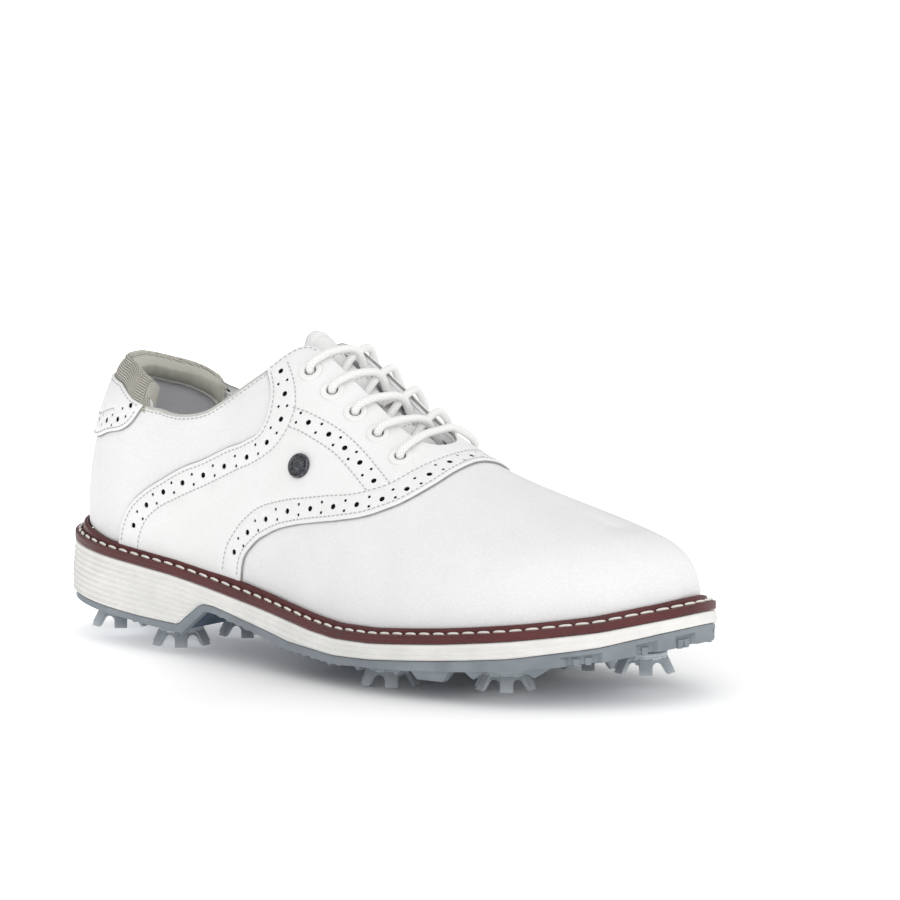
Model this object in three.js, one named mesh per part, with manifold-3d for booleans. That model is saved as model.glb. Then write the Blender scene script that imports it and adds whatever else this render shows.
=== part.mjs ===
// Golf shoe, right foot, EU 42.5 / US 9.5, in millimetres.
// +X to the toe, +Y to the inner (medial) side, +Z up.
// Origin: middle of the bounding box in plan, on the ground under the cleat tips.
import * as THREE from 'three';
import { mergeVertices } from 'three/addons/utils/BufferGeometryUtils.js';
import Module from 'manifold-3d';

const wasm = await Module();
wasm.setup();
const { clamp } = THREE.MathUtils;

// ---------------------------------------------------------------- driving dimensions
// Stations t run once round the sole: 0 heel, 0 to 0.5 outer side, 0.5 toe, 0.5 to 1 inner side.
// Rows v climb the upper: 0 at the feather edge (where it meets the sole), 1 at the ridge.
const SAMPLES = 720;            // samples of every curve round the sole
const SIDE_STATIONS = 17;       // steps along each side of the upper
const SOLE_SIDE_STATIONS = 26;  // steps along each side of the sole edge
const ROWS = [0, 0.2, 0.43, 0.65, 0.84, 0.967];
const WELT_IN = 6.0;            // feather edge lies this far inside the sole edge
const BODY_RISE = 2.2;          // underside of the upper above the welt line
const CORE_DROP = 9;            // a subtracted inner body reaches this much lower

// layers of the upper: [inner, outer] offsets from the last surface
const BASE = [-1.4, 0];
const OVER = [0.45, 1.5];
const STIFF = [-2.6, -1.75];
const LINING = [-3.9, -2.95];
const COLLAR_INSIDE = -8.5;
const TOPLINE_BAND = 1.3;       // depth of the topline edge strip below the crest line
const COLLAR_FRONT = -92.5;     // x where the outer collar cover ends

// tongue layers are stacked downward along TONGUE_DIR from TONGUE_TOP
const TONGUE_TOP = -8.7;
const TONGUE_DIR = new THREE.Vector3(0.573, 0, 0.819);
const TONGUE_SKIN = [-9.6, TONGUE_TOP];
const TONGUE_PAD = [-12.8, -9.95];
const TONGUE_BACK = [-13.9, -13.15];

// throat, the gap between the facings
const THROAT_Y = [-8, 13];
const THROAT_MID = (THROAT_Y[0] + THROAT_Y[1]) / 2;
const THROAT_HALF = (THROAT_Y[1] - THROAT_Y[0]) / 2;
const THROAT_END = 38;
// its rounded toe end: [x from THROAT_END, fraction of the half width]
const THROAT_NOSE = [[-6.5, -0.92], [-2.5, -0.7], [0, -0.35], [0, 0.35], [-2.5, 0.7], [-6.5, 0.92]];

const LACE_R = 1.15;
const LACE_IN = -6.7;           // offset of the lace where it runs under the facings
// [t, v]; eyelets of the outer side from the top row down
const EYELETS = [[0.2183, 0.715], [0.234, 0.718], [0.2507, 0.728], [0.2677, 0.735], [0.2867, 0.718]];
const BADGE = [0.229, 0.4];

// [x, y, z of the leg tips]
const CLEATS = [
  [-127, -12, 3], [-88.7, -17.4, 0], [-83, 16, 0], [34, -31, 0],
  [34, 31, 0], [84, -22, 2.8], [79, 34, 3], [120, 18, 8],
];
const LEG_TIP_R = 12.2;
const CLEAT_DISC_R = 9;
const STUD_R = 4.2;
const LUG_R = 6;
const LUG_W = 3.8;
const CLEAT_H = 8;              // leg tips to the top of the disc
const CUP_R = 8;
const CUP_FLANGE = 1.3;
const CUP_GAP = 0.3;            // between disc and receptacle
const CUP_CLEARANCE = 0.35;     // round the receptacle in the sole

// ---------------------------------------------------------------- measured tables
// sole outline [x from the heel back, y]: heel, outer side, toe (index TOE), inner side
const HEEL_X = -150;
const TOE = 14;
const OUTLINE = [
  [0, 0], [4, -17], [14, -29], [32, -37.5], [60, -40], [95, -40.5], [125, -43.5], [155, -49],
  [185, -53.5], [210, -54], [235, -50], [258, -41.5], [277, -28], [291, -10], [299.6, 9],
  [297, 28], [287, 38.5], [270, 46.5], [248, 51.5], [222, 53.5], [198, 51.5], [170, 44],
  [140, 36.5], [112, 34], [85, 35.5], [58, 38], [32, 37], [14, 29], [4, 17],
].map(([x, y]) => [x + HEEL_X, y]);

// last shape: one value per x of the sole edge in LAST_X
const LAST_X = [-150, -140, -120, -95, -70, -45, -20, 0, 20, 40, 60, 80, 100, 120, 135, 150];
const LAST = {
  ridgeX: [-123, -118, -104, -86, -67, -46, -22, 0, 20, 40, 59, 77, 92, 104, 110, 114],
  ridgeZ: [116, 116, 116, 118, 125, 131, 125, 110.5, 96.5, 86.8, 79.8, 74.3, 70, 66.5, 64.5, 63.5],
  topWidth: [0.66, 0.66, 0.67, 0.66, 0.42, 0, 0, 0, 0, 0, 0, 0, 0, 0, 0, 0], // share left at the top
  fullness: [1.35, 1.35, 1.35, 1.35, 1.6, 1.95, 2, 2, 2, 2, 2.05, 2.15, 2.25, 2.3, 2.3, 2.3],
  bulge: [2.5, 2.5, 2.5, 2, 1.5, 1, 1, 1, 1, 1, 1, 1, 1, 0.5, 0, 0],
  ridgeY: [0, 0, 0, 0, 0, 1, 2, 2.5, 3, 4, 5, 6, 7, 8, 9, 10],
  featherZ: [46, 45, 41.6, 37.9, 35.4, 32.8, 29, 25.6, 23.4, 23.8, 25.6, 27.5, 29.8, 32.2, 34.6, 39],
  facingRise: [0, 0, 0, 0, 0, 2.5, 4.5, 3.6, 2.2, 0.6, 0, 0, 0, 0, 0, 0],   // inner side only
};

// heights along the sole [x, z]
const Z_WELT = [
  [-160, 40.4], [-119, 36.6], [-75, 32.2], [-41, 27], [-10, 22.6], [8, 20], [22, 18.8],
  [42, 19.3], [75.5, 22.3], [103, 25.3], [131, 29.3], [147, 33.3], [160, 37],
];
const Z_OUTSOLE_TOP = [
  [-160, 19.4], [-119, 16], [-92, 13.5], [-70, 12.4], [-59, 20.8], [-56, 22], [-50, 21.8],
  [-32, 18.3], [-5, 13.6], [22, 11.9], [42, 12.8], [75.5, 15.8], [103, 18.5], [131, 23.2],
  [147, 28.1], [160, 32],
];
const Z_OUTSOLE_BOTTOM = [
  [-160, 17.4], [-119.5, 13.5], [-83, 10.2], [-68, 9.1], [-55, 19.4], [-49, 18.9], [-32, 15.5],
  [-8, 10.8], [22, 8.9], [60, 10.7], [103, 13.9], [131, 17.6], [147, 21.6], [160, 25],
];

// side-view lines of the upper [x, z]
const CREST = [   // topline
  [-170, 116.3], [-118, 115.4], [-110, 112.6], [-104, 108.5], [-99, 104], [-95, 100],
  [-91, 97.1], [-85, 95.6], [-78, 95], [-70, 96], [-64, 98], [-57, 102.6], [-48.6, 108.9],
  [-40.6, 114.9], [-36, 119.4], [-32, 123.2], [-28.6, 124.6], [-24, 125.2], [-21.5, 127],
  [-20, 160],
];
const LEATHER_TOP = [
  [-170, 109], [-125, 108.2], [-113, 105.4], [-104, 99.3], [-97, 97.4], [-91, 95.7],
];
const SADDLE_REAR = [
  [-40.2, 115.5], [-36, 108.5], [-32.6, 102.4], [-32.3, 95.5], [-37.1, 90.2], [-53.4, 83],
  [-70.7, 76.7], [-83.8, 71.7], [-92.9, 65], [-99.6, 57.2], [-103.6, 49.4], [-105.4, 39.4],
  [-106, 5],
];
const SADDLE_FRONT = [
  [-39.5, 5], [-39.1, 33.2], [-37.8, 40.4], [-32, 48], [-21.9, 53.9], [-7.6, 58.5],
  [14.9, 62.5], [31.6, 66.7], [41.8, 71.7], [47.6, 77.4], [49.3, 81.7], [50, 160],
];
const UNDERLAP = [   // vamp edge below the saddle
  [-50.5, 5], [-49, 38], [-43, 53], [-28, 61.5], [-10, 66.5], [12, 70.5], [26, 74],
  [33, 78.5], [38.8, 84], [40.2, 160],
];
const TAB_LOW = [
  [-170, 80.6], [-125.5, 81.4], [-117, 84.3], [-106.5, 86.9], [-103.2, 89], [-97.6, 95.4],
  [-96, 100],
];
const COLLAR_LOW = [[-170, 91], [-120, 90], [-100, 86.5], [-80, 84.8], [-66, 87.5], [-58, 93]];

// ---------------------------------------------------------------- curves
// non-uniform Catmull-Rom curve through scalar knots
function spline(knots, values, xIn) {
  const n = knots.length;
  const x = clamp(xIn, knots[0], knots[n - 1]);
  let i = 0;
  while (i < n - 2 && x >= knots[i + 1]) i++;
  const step = j => knots[j + 1] - knots[j];
  const slope = j => (values[j + 1] - values[j]) / step(j);
  const tangent = j => {
    if (j === 0) return slope(0);
    if (j === n - 1) return slope(n - 2);
    return (slope(j) * step(j - 1) + slope(j - 1) * step(j)) / (step(j) + step(j - 1));
  };
  const h = step(i);
  const t = (x - knots[i]) / h;
  return (2 * t ** 3 - 3 * t * t + 1) * values[i] + (t ** 3 - 2 * t * t + t) * h * tangent(i)
    + (-2 * t ** 3 + 3 * t * t) * values[i + 1] + (t ** 3 - t * t) * h * tangent(i + 1);
}

// piecewise linear [x, z] table, continued beyond its ends
function heightAt(table, x) {
  let i = 0;
  while (i < table.length - 2 && x > table[i + 1][0]) i++;
  const [a, b] = [table[i], table[i + 1]];
  return a[1] + (b[1] - a[1]) * ((x - a[0]) / (b[0] - a[0]));
}

function smoothLoop(values, passes) {
  for (let k = 0; k < passes; k++) {
    values = values.map((value, i) => 0.25 * values[(i + SAMPLES - 1) % SAMPLES]
      + 0.5 * value + 0.25 * values[(i + 1) % SAMPLES]);
  }
  return values;
}

function smoothstep(from, to, x) {
  const u = clamp((x - from) / (to - from), 0, 1);
  return u * u * (3 - 2 * u);
}

const wrap = t => ((t % 1) + 1) % 1;

// value of a sampled loop at station t
function at(loop, t) {
  const u = wrap(t) * SAMPLES;
  const i = Math.floor(u) % SAMPLES;
  const w = u - Math.floor(u);
  return loop[i] * (1 - w) + loop[(i + 1) % SAMPLES] * w;
}

// sole outline sampled by arc length, with the toe point at t = 0.5
function sampleOutline() {
  const lead = 3;   // points repeated before the heel so that the curve closes smoothly
  const points = [...OUTLINE.slice(-lead), ...OUTLINE, ...OUTLINE.slice(0, 4)];
  const sums = [0];
  for (let i = 1; i < points.length; i++) {
    const [a, b] = [points[i - 1], points[i]];
    sums.push(sums[i - 1] + Math.hypot(b[0] - a[0], b[1] - a[1]));
  }
  const lengths = sums.map(s => s - sums[lead]);
  const total = lengths[lead + OUTLINE.length];
  const toToe = lengths[lead + TOE];
  const stops = Array.from({ length: SAMPLES }, (_, i) => {
    const t = i / SAMPLES;
    return t < 0.5 ? t * 2 * toToe : toToe + (t - 0.5) * 2 * (total - toToe);
  });
  return [0, 1].map(axis => {
    const values = points.map(p => p[axis]);
    return smoothLoop(stops.map(s => spline(lengths, values, s)), 40);
  });
}

const [outlineX, outlineY] = sampleOutline();
const normals = outlineX.map((_, i) => {
  const before = (i + SAMPLES - 1) % SAMPLES;
  const after = (i + 1) % SAMPLES;
  const dx = outlineX[after] - outlineX[before];
  const dy = outlineY[after] - outlineY[before];
  const length = Math.hypot(dx, dy);
  return [dy / length, -dx / length];
});
const normalX = normals.map(n => n[0]);
const normalY = normals.map(n => n[1]);
const featherX = outlineX.map((x, i) => x - normalX[i] * WELT_IN);
const featherY = outlineY.map((y, i) => y - normalY[i] * WELT_IN);
const last = {};
for (const key in LAST) {
  last[key] = smoothLoop(outlineX.map(x => spline(LAST_X, LAST[key], x)), 12);
}
const topY = last.ridgeY.map((y, i) => y + last.topWidth[i] * featherY[i]);

// ---------------------------------------------------------------- last surface
// point of the outer surface; `raised` includes the extra height of the inner facing
function lastPoint(t, v, raised = true) {
  const angle = v * Math.PI / 2;
  const c = Math.max(Math.cos(angle), 1e-9);
  const s = Math.max(Math.sin(angle), 1e-9);
  const power = at(last.fullness, t);
  const radius = (c ** power + s ** power) ** (-1 / power);
  const out = radius * c;
  const up = radius * s;
  const bulge = 4 * up * (1 - up) * at(last.bulge, t);
  const x = at(last.ridgeX, t);
  const y = at(topY, t);
  const z = at(last.featherZ, t);
  const rise = raised && wrap(t) > 0.5
    ? at(last.facingRise, t) * up * up * Math.min(1, out * 4) : 0;
  return new THREE.Vector3(
    x + (at(featherX, t) - x) * out + at(normalX, t) * bulge,
    y + (at(featherY, t) - y) * out + at(normalY, t) * bulge,
    z + (at(last.ridgeZ, t) - z) * up + rise,
  );
}

function lastNormal(t, v, raised) {
  const dt = 0.002;
  const dv = 0.012;
  const row = clamp(v, dv, 0.955);   // keeps the differences off both ends
  const along = lastPoint(t + dt, row, raised).sub(lastPoint(t - dt, row, raised));
  const upward = lastPoint(t, row + dv, raised).sub(lastPoint(t, row - dv, raised));
  const normal = along.cross(upward).normalize();
  // both sides meet on one normal at the closed ridge
  const closed = Math.max(0, 1 - 6 * Math.abs(at(last.topWidth, t)));
  normal.y *= 1 - smoothstep(0.78, 0.967, v) * closed;
  return normal.normalize();
}

function offsetPoint(t, v, offset, raised = true) {
  return lastPoint(t, v, raised).addScaledVector(lastNormal(t, v, raised), offset);
}

// inner-side station with the same outline x as outer-side station t
function mateStation(t) {
  if (t <= 0) return 0;
  if (t >= 0.5) return 0.5;
  const x = at(outlineX, t);
  let low = 0.5;
  let high = 1;
  for (let k = 0; k < 40; k++) {
    const middle = (low + high) / 2;
    if (at(outlineX, middle) > x) low = middle;
    else high = middle;
  }
  return (low + high) / 2;
}

const outerStations = Array.from({ length: SIDE_STATIONS + 1 }, (_, j) => 0.5 * j / SIDE_STATIONS);
const RING = [...outerStations, ...outerStations.slice(1, -1).map(mateStation).reverse()];
const SOLE_RING = Array.from({ length: 2 * SOLE_SIDE_STATIONS },
  (_, j) => j / (2 * SOLE_SIDE_STATIONS));

// ---------------------------------------------------------------- solids
function toSolid(source) {
  const bare = source.index ? source.toNonIndexed() : source.clone();
  for (const name of Object.keys(bare.attributes)) {
    if (name !== 'position') bare.deleteAttribute(name);
  }
  const merged = mergeVertices(bare, 1e-4);
  const index = merged.index.array;
  const triangles = [];
  for (let i = 0; i < index.length; i += 3) {
    const [a, b, c] = index.slice(i, i + 3);
    if (a !== b && b !== c && a !== c) triangles.push(a, b, c);
  }
  return new wasm.Manifold(new wasm.Mesh({
    numProp: 3,
    vertProperties: new Float32Array(merged.attributes.position.array),
    triVerts: new Uint32Array(triangles),
  }));
}

function toGeometry(solid) {
  const mesh = solid.getMesh();
  const geometry = new THREE.BufferGeometry();
  geometry.setAttribute('position', new THREE.Float32BufferAttribute(mesh.vertProperties, 3));
  geometry.setIndex([...mesh.triVerts]);
  return geometry;
}

// closed body through stacked rings, bottom to top, capped by ruled strips between the sides
function ringStack(rings) {
  const n = RING.length;
  const faces = [];
  for (let r = 0; r < rings.length - 1; r++) {
    for (let j = 0; j < n; j++) {
      const a = r * n + j;
      const b = r * n + (j + 1) % n;
      faces.push(a, b, b + n, a, b + n, a + n);
    }
  }
  for (const [first, isTop] of [[0, false], [(rings.length - 1) * n, true]]) {
    for (let j = 0; j < SIDE_STATIONS; j++) {
      const [a, b, c, d] = [j, j + 1, n - j - 1, (n - j) % n].map(i => first + i);
      const strip = [];
      if (b !== c) strip.push([a, b, c]);
      if (a !== d) strip.push([a, c, d]);
      for (const [p, q, r] of strip) faces.push(...(isTop ? [p, q, r] : [p, r, q]));
    }
  }
  const geometry = new THREE.BufferGeometry();
  const coordinates = rings.flat().flatMap(p => [p.x, p.y, p.z]);
  geometry.setAttribute('position', new THREE.Float32BufferAttribute(coordinates, 3));
  geometry.setIndex(faces);
  return toSolid(geometry);
}

// solid filling the last surface moved out by `offset`
function lastBody(offset, drop = 0, pointAt = offsetPoint) {
  const bottom = RING.map(t => new THREE.Vector3(
    at(featherX, t) + at(normalX, t) * offset,
    at(featherY, t) + at(normalY, t) * offset,
    heightAt(Z_WELT, at(outlineX, t)) + BODY_RISE - drop,
  ));
  return ringStack([bottom, ...ROWS.map(v => RING.map(t => pointAt(t, v, offset)))]);
}

const shell = ([inner, outer], pointAt) =>
  lastBody(outer, 0, pointAt).subtract(lastBody(inner, CORE_DROP, pointAt));

const shapeOf = points => new THREE.Shape(points.map(([x, y]) => new THREE.Vector2(x, y)));
const extrude = (points, depth) =>
  new THREE.ExtrudeGeometry(shapeOf(points), { depth, bevelEnabled: false, steps: 1 });

// prism across the shoe from [x, z] points
function sidePrism(points, halfWidth = 90) {
  return toSolid(extrude(points, 2 * halfWidth).rotateX(Math.PI / 2).translate(0, halfWidth, 0));
}

// upright prism from [x, y] points
const planPrism = (points, z0, z1) => toSolid(extrude(points, z1 - z0).translate(0, 0, z0));
const block = (x0, x1, y0, y1, z0, z1) =>
  planPrism([[x0, y0], [x1, y0], [x1, y1], [x0, y1]], z0, z1);

const shifted = (table, dz, dx = 0) => table.map(([x, z]) => [x + dx, z + dz]);

// prism between two side-view lines, each raised by its own amount
function band(low, lowRise, high, highRise, x0 = -160, x1 = 160) {
  const knots = [...low, ...high].map(p => p[0]).filter(x => x > x0 && x < x1);
  const stops = [...new Set([x0, x0 + (x1 - x0) / 2, x1, ...knots])].sort((a, b) => a - b);
  return sidePrism([
    ...stops.map(x => [x, heightAt(low, x) + lowRise]),
    ...stops.slice().reverse().map(x => [x, heightAt(high, x) + highRise]),
  ]);
}
const weltBand = (low, high) => band(Z_WELT, low, Z_WELT, high);
const crestBand = (low, high, x0, x1) => band(CREST, low, CREST, high, x0, x1);

// everything inside the sole outline moved out by `offset`
const soleEdge = offset => planPrism(SOLE_RING.map(t => [
  at(outlineX, t) + at(normalX, t) * offset,
  at(outlineY, t) + at(normalY, t) * offset,
]), -20, 200);

function cylinder(radius, z0, z1, segments, x = 0, y = 0) {
  const geometry = new THREE.CylinderGeometry(radius, radius, z1 - z0, segments);
  return toSolid(geometry.rotateX(Math.PI / 2).translate(x, y, (z0 + z1) / 2));
}

// turned solid from [radius, z]; a profile that starts off the axis is closed into a ring
function lathe(profile, segments) {
  const points = profile.map(([r, z]) => new THREE.Vector2(r, z));
  if (profile[0][0] > 0) points.push(points[0].clone());
  return toSolid(new THREE.LatheGeometry(points, segments).rotateX(Math.PI / 2));
}

// moves a solid to `point` with its z axis along `normal`
function placeAt(solid, { point, normal }) {
  const z = normal.clone().normalize();
  const x = new THREE.Vector3(1, 0, 0).addScaledVector(z, -z.x).normalize();
  const frame = new THREE.Matrix4().makeBasis(x, z.clone().cross(x), z).setPosition(point);
  return solid.transform(frame.elements);
}

// ---------------------------------------------------------------- materials and meshes
// colour, roughness, metalness
const MATERIALS = {
  white: [0xeeeeec, 0.45, 0],
  pebble: [0xe9e9e8, 0.55, 0],
  grey: [0xa9a9a4, 0.9, 0],
  liner: [0x9b9b9b, 0.9, 0],
  welt: [0x4d2328, 0.5, 0],
  midsole: [0xe6e5df, 0.6, 0],
  outsole: [0x8793a0, 0.6, 0],
  cleat: [0x6d7780, 0.55, 0],
  cup: [0x2e3236, 0.5, 0],
  foam: [0xd9d4c4, 0.95, 0],
  board: [0xb08f65, 0.9, 0],
  steel: [0x8f969c, 0.35, 1],
  lace: [0xe4e4e2, 0.8, 0],
  metal: [0x55575b, 0.35, 0.9],
};
const group = new THREE.Group();

// adds the largest connected part of a solid; cutting can leave loose slivers
function add(name, solid, finish) {
  const largest = solid.decompose().reduce((a, b) => (b.volume() > a.volume() ? b : a));
  const [color, roughness, metalness] = MATERIALS[finish];
  const material = new THREE.MeshStandardMaterial({ color, roughness, metalness });
  const mesh = new THREE.Mesh(toGeometry(largest), material);
  mesh.name = name;
  group.add(mesh);
}

// ---------------------------------------------------------------- sole unit
const cupZ = z => z + CLEAT_H + CUP_GAP;

// flanged receptacle outline, grown by `clearance`
function cupProfile(clearance, bottom) {
  const body = CUP_R + clearance;
  const flange = CUP_R + CUP_FLANGE + clearance;
  const ledge = 3.9 - clearance;
  const top = 6.3 + clearance;
  return [[0, bottom], [body, bottom], [body, ledge], [flange, ledge], [flange, top], [0, top]];
}

function cutCupHoles(solid) {
  const hole = lathe(cupProfile(CUP_CLEARANCE, -3), 8);
  return CLEATS.reduce((rest, [x, y, z]) => rest.subtract(hole.translate([x, y, cupZ(z)])), solid);
}

function outsole() {
  let solid = soleEdge(-0.4).intersect(band(Z_OUTSOLE_BOTTOM, 0, Z_OUTSOLE_TOP, 0));
  for (const [x, y, z] of CLEATS) {   // a boss round each receptacle
    const top = heightAt(Z_OUTSOLE_BOTTOM, x) + 1.5;
    solid = solid.add(cylinder(CUP_R + 2.6, cupZ(z), top, 10, x, y));
  }
  solid = cutCupHoles(solid);
  for (const [x, y, z] of CLEATS) {   // room for the cleats
    solid = solid.subtract(cylinder(LEG_TIP_R + 0.8, z - 5, z + CLEAT_H + 0.28, 12, x, y));
  }
  return solid;
}

function welt() {
  const flat = soleEdge(0).intersect(weltBand(0.35, 3.7));
  const bead = soleEdge(-WELT_IN + 2.3).intersect(weltBand(2.5, 5.0));
  return flat.add(bead).subtract(soleEdge(-WELT_IN + 0.75));
}

add('outsole', outsole(), 'outsole');
add('midsole', cutCupHoles(soleEdge(0).intersect(band(Z_OUTSOLE_TOP, 0.35, Z_WELT, 0))), 'midsole');
add('welt', welt(), 'welt');
const stitchRing = soleEdge(-1.5).subtract(soleEdge(-2.5));
add('welt_stitching', stitchRing.intersect(weltBand(4.05, 4.75)), 'lace');
const shankSlot = block(-98, 12, -7.4, 7.4, 0, 60);
const filler = soleEdge(-WELT_IN - 0.2).intersect(weltBand(0.35, 1.8)).subtract(shankSlot);
add('bottom_filler', filler, 'foam');
add('shank', block(-97, 11, -6.5, 6.5, 0, 60).intersect(weltBand(0.5, 1.75)), 'steel');
add('insole_board', soleEdge(-WELT_IN - 6.2).intersect(weltBand(2.2, 4.2)), 'board');
add('footbed', soleEdge(-WELT_IN - 7.4).intersect(weltBand(4.55, 8.6)), 'liner');

// ---------------------------------------------------------------- cleats and receptacles
function addAround(base, part, count, turn) {
  let solid = base;
  for (let k = 0; k < count; k++) solid = solid.add(part.rotate([0, 0, 360 / count * k + turn]));
  return solid;
}

// bar reaching from the axis along +X
const radialBar = (length, width, height, z) =>
  toSolid(new THREE.BoxGeometry(length, width, height).translate(length / 2, 0, z));

// disc and stud, six splayed legs below, three locking lugs at the top of the stud
function cleat() {
  const core = lathe([
    [0, 4.9], [CLEAT_DISC_R, 4.9], [CLEAT_DISC_R, CLEAT_H], [STUD_R, CLEAT_H], [STUD_R, 12.8],
    [0, 12.8],
  ], 10);
  const leg = sidePrism([[5.0, 5.3], [9.4, 0], [LEG_TIP_R, 0], [7.9, 5.3]], 2);
  return addAround(addAround(core, leg, 6, 12), radialBar(LUG_R, LUG_W, 1.6, 12.0), 3, 0);
}

// flanged cup with a stepped bore and three slots for the lugs
function receptacle() {
  const bore = lathe([
    [0, -1], [STUD_R + 0.6, -1], [STUD_R + 0.6, 1.7], [7, 1.7], [7, 5.1], [0, 5.1],
  ], 8);
  const slot = radialBar(LUG_R + 0.5, LUG_W + 0.9, 4, 1);
  return lathe(cupProfile(0, 0), 8).subtract(addAround(bore, slot, 3, 60));
}

const cleatSolid = cleat();
const receptacleSolid = receptacle();
CLEATS.forEach(([x, y, z], i) => {
  add(`cleat_${i + 1}`, cleatSolid.translate([x, y, z]), 'cleat');
  add(`cleat_receptacle_${i + 1}`, receptacleSolid.translate([x, y, cupZ(z)]), 'cup');
});

// ---------------------------------------------------------------- eyelet and badge places
const surfaceSpot = (t, v) => ({ t, v, point: lastPoint(t, v), normal: lastNormal(t, v) });

// inner-side spot mirrored in plan about the middle of the throat, by a narrowing grid search
function mirroredSpot(t, v) {
  const source = lastPoint(t, v);
  const y = 2 * THROAT_MID - source.y;
  let best = { t: mateStation(t), v, distance: 1e9 };
  let spanT = 0.01;
  let spanV = 0.1;
  for (let k = 0; k < 12; k++) {
    const centre = best;
    for (let i = -3; i <= 3; i++) {
      for (let j = -3; j <= 3; j++) {
        const tryT = centre.t + i * spanT / 3;
        const tryV = Math.min(0.96, centre.v + j * spanV / 3);
        const p = lastPoint(tryT, tryV);
        const distance = Math.hypot(p.x - source.x, p.y - y);
        if (distance < best.distance) best = { t: tryT, v: tryV, distance };
      }
    }
    spanT *= 0.6;
    spanV *= 0.6;
  }
  return surfaceSpot(best.t, best.v);
}

// `side` is the sign of y
const eyeletRows = EYELETS.map(([t, v]) => ({
  lateral: { ...surfaceSpot(t, v), tag: 'lateral', side: -1 },
  medial: { ...mirroredSpot(t, v), tag: 'medial', side: 1 },
}));
const badgeSpot = surfaceSpot(...BADGE);
const eyeletBores = eyeletRows.flatMap(row => [row.lateral, row.medial])
  .map(spot => placeAt(cylinder(3.35, -6, 6, 8), spot));
const badgeBore = placeAt(cylinder(1.6, -2.8, 2.8, 12), badgeSpot);
const drill = (solid, bores) => bores.reduce((rest, bore) => rest.subtract(bore), solid);

// ---------------------------------------------------------------- cutters of the upper
const above = (table, dz) =>
  sidePrism([...shifted(table, dz), [table[table.length - 1][0], 260], [-170, 260]]);

// plan cut between the facings, widened by `gap`
function throat(gap) {
  const half = THROAT_HALF + gap;
  const straightEnd = THROAT_END - 9;
  return planPrism([
    [-75, THROAT_MID - half], [straightEnd, THROAT_MID - half],
    ...THROAT_NOSE.map(([x, share]) => [THROAT_END + x + gap, THROAT_MID + share * half]),
    [straightEnd, THROAT_MID + half], [-75, THROAT_MID + half],
  ], 60, 240);
}

const reversed = points => points.slice().reverse();
const crestCut = above(CREST, -TOPLINE_BAND);
const throatCut = throat(0);
const leatherCut = sidePrism([...LEATHER_TOP, [-90.9, 260], [-170, 260]]);
const saddleSide = sidePrism([...reversed(SADDLE_REAR), [-41.5, 170], ...reversed(SADDLE_FRONT)]);
const vampSide = sidePrism([...UNDERLAP, [180, 160], [180, 5]]);
const quarterSide = sidePrism([...reversed(shifted(UNDERLAP, 0.5, -0.5)), [-180, 4], [-180, 170]]);

function addHalves(name, solid, finish) {
  add(`${name}_lateral`, solid.intersect(block(-200, 200, -100, -0.25, -10, 260)), finish);
  add(`${name}_medial`, solid.intersect(block(-200, 200, 0.25, 100, -10, 260)), finish);
}

// ---------------------------------------------------------------- upper, outer layers
const baseLayer = shell(BASE).subtract(crestCut).subtract(throatCut).subtract(leatherCut);
add('vamp', baseLayer.intersect(vampSide), 'pebble');
const allBores = [...eyeletBores, badgeBore];
addHalves('quarter', drill(baseLayer.intersect(quarterSide), allBores), 'pebble');

const overLayer = shell(OVER).subtract(crestCut).subtract(throatCut);
// the saddle stops just above the welt bead
const weltClear = sidePrism([...shifted(Z_WELT, 5.6), [180, 0], [-180, 0]]);
add('saddle', drill(overLayer.intersect(saddleSide), allBores).subtract(weltClear), 'white');
const tabSide = sidePrism([...TAB_LOW, [-96, 130], [-170, 130]]);
add('backstay_tab', overLayer.subtract(leatherCut).intersect(tabSide), 'white');

// ---------------------------------------------------------------- stiffeners, collar, lining
const stiffLayer = shell(STIFF);
const counterSide = sidePrism([[-170, 84], [-112, 82], [-88, 68], [-72, 46], [-66, 5], [-170, 5]]);
add('heel_counter', stiffLayer.intersect(counterSide), 'board');
const puffSide = sidePrism([[92, 5], [170, 5], [170, 120], [86, 120], [88, 60]]);
add('toe_puff', stiffLayer.intersect(puffSide), 'board');

function collarCover() {
  const outside = lastBody(0).subtract(lastBody(-1.2))
    .intersect(band(LEATHER_TOP, 0.45, CREST, 0, -170, COLLAR_FRONT));
  const inside = shell([COLLAR_INSIDE, -7.4]).intersect(band(COLLAR_LOW, 0, CREST, 0, -170, -58));
  const rearTop = shell([COLLAR_INSIDE, 0])
    .intersect(crestBand(-TOPLINE_BAND, 0, -170, COLLAR_FRONT));
  const frontTop = shell([COLLAR_INSIDE, -1.75])
    .intersect(crestBand(-TOPLINE_BAND, -0.1, -93, -58))
    .subtract(above(CREST, -1.0));
  return outside.add(inside).add(rearTop).add(frontTop);
}
add('collar_cover', collarCover(), 'grey');
const foamSide = band(COLLAR_LOW, 0.8, CREST, -1.7, -170, -58.5);
add('collar_foam', shell([-7.05, -1.8]).intersect(foamSide), 'foam');

const lining = shell(LINING);
add('vamp_lining', lining.intersect(vampSide).subtract(throat(0.2)), 'liner');
const collarClear = sidePrism([...shifted(COLLAR_LOW, -0.4), [-57.6, 260], [-170, 260]]);
const quarterLining = drill(lining.intersect(quarterSide), eyeletBores)
  .subtract(crestCut).subtract(throatCut).subtract(collarClear);
add('quarter_lining', quarterLining, 'liner');

// edge binding along the topline in front of the outer collar cover
function toplineBinding() {
  const front = shell([-3.9, 0.9]).intersect(crestBand(-0.95, 0.2, -57.4, -26))
    .subtract(throat(-0.2));
  return front.add(shell([-1.4, 0.9]).intersect(crestBand(-0.95, 0.2, -91.8, -57)));
}
addHalves('topline_binding', toplineBinding(), 'grey');

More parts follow.
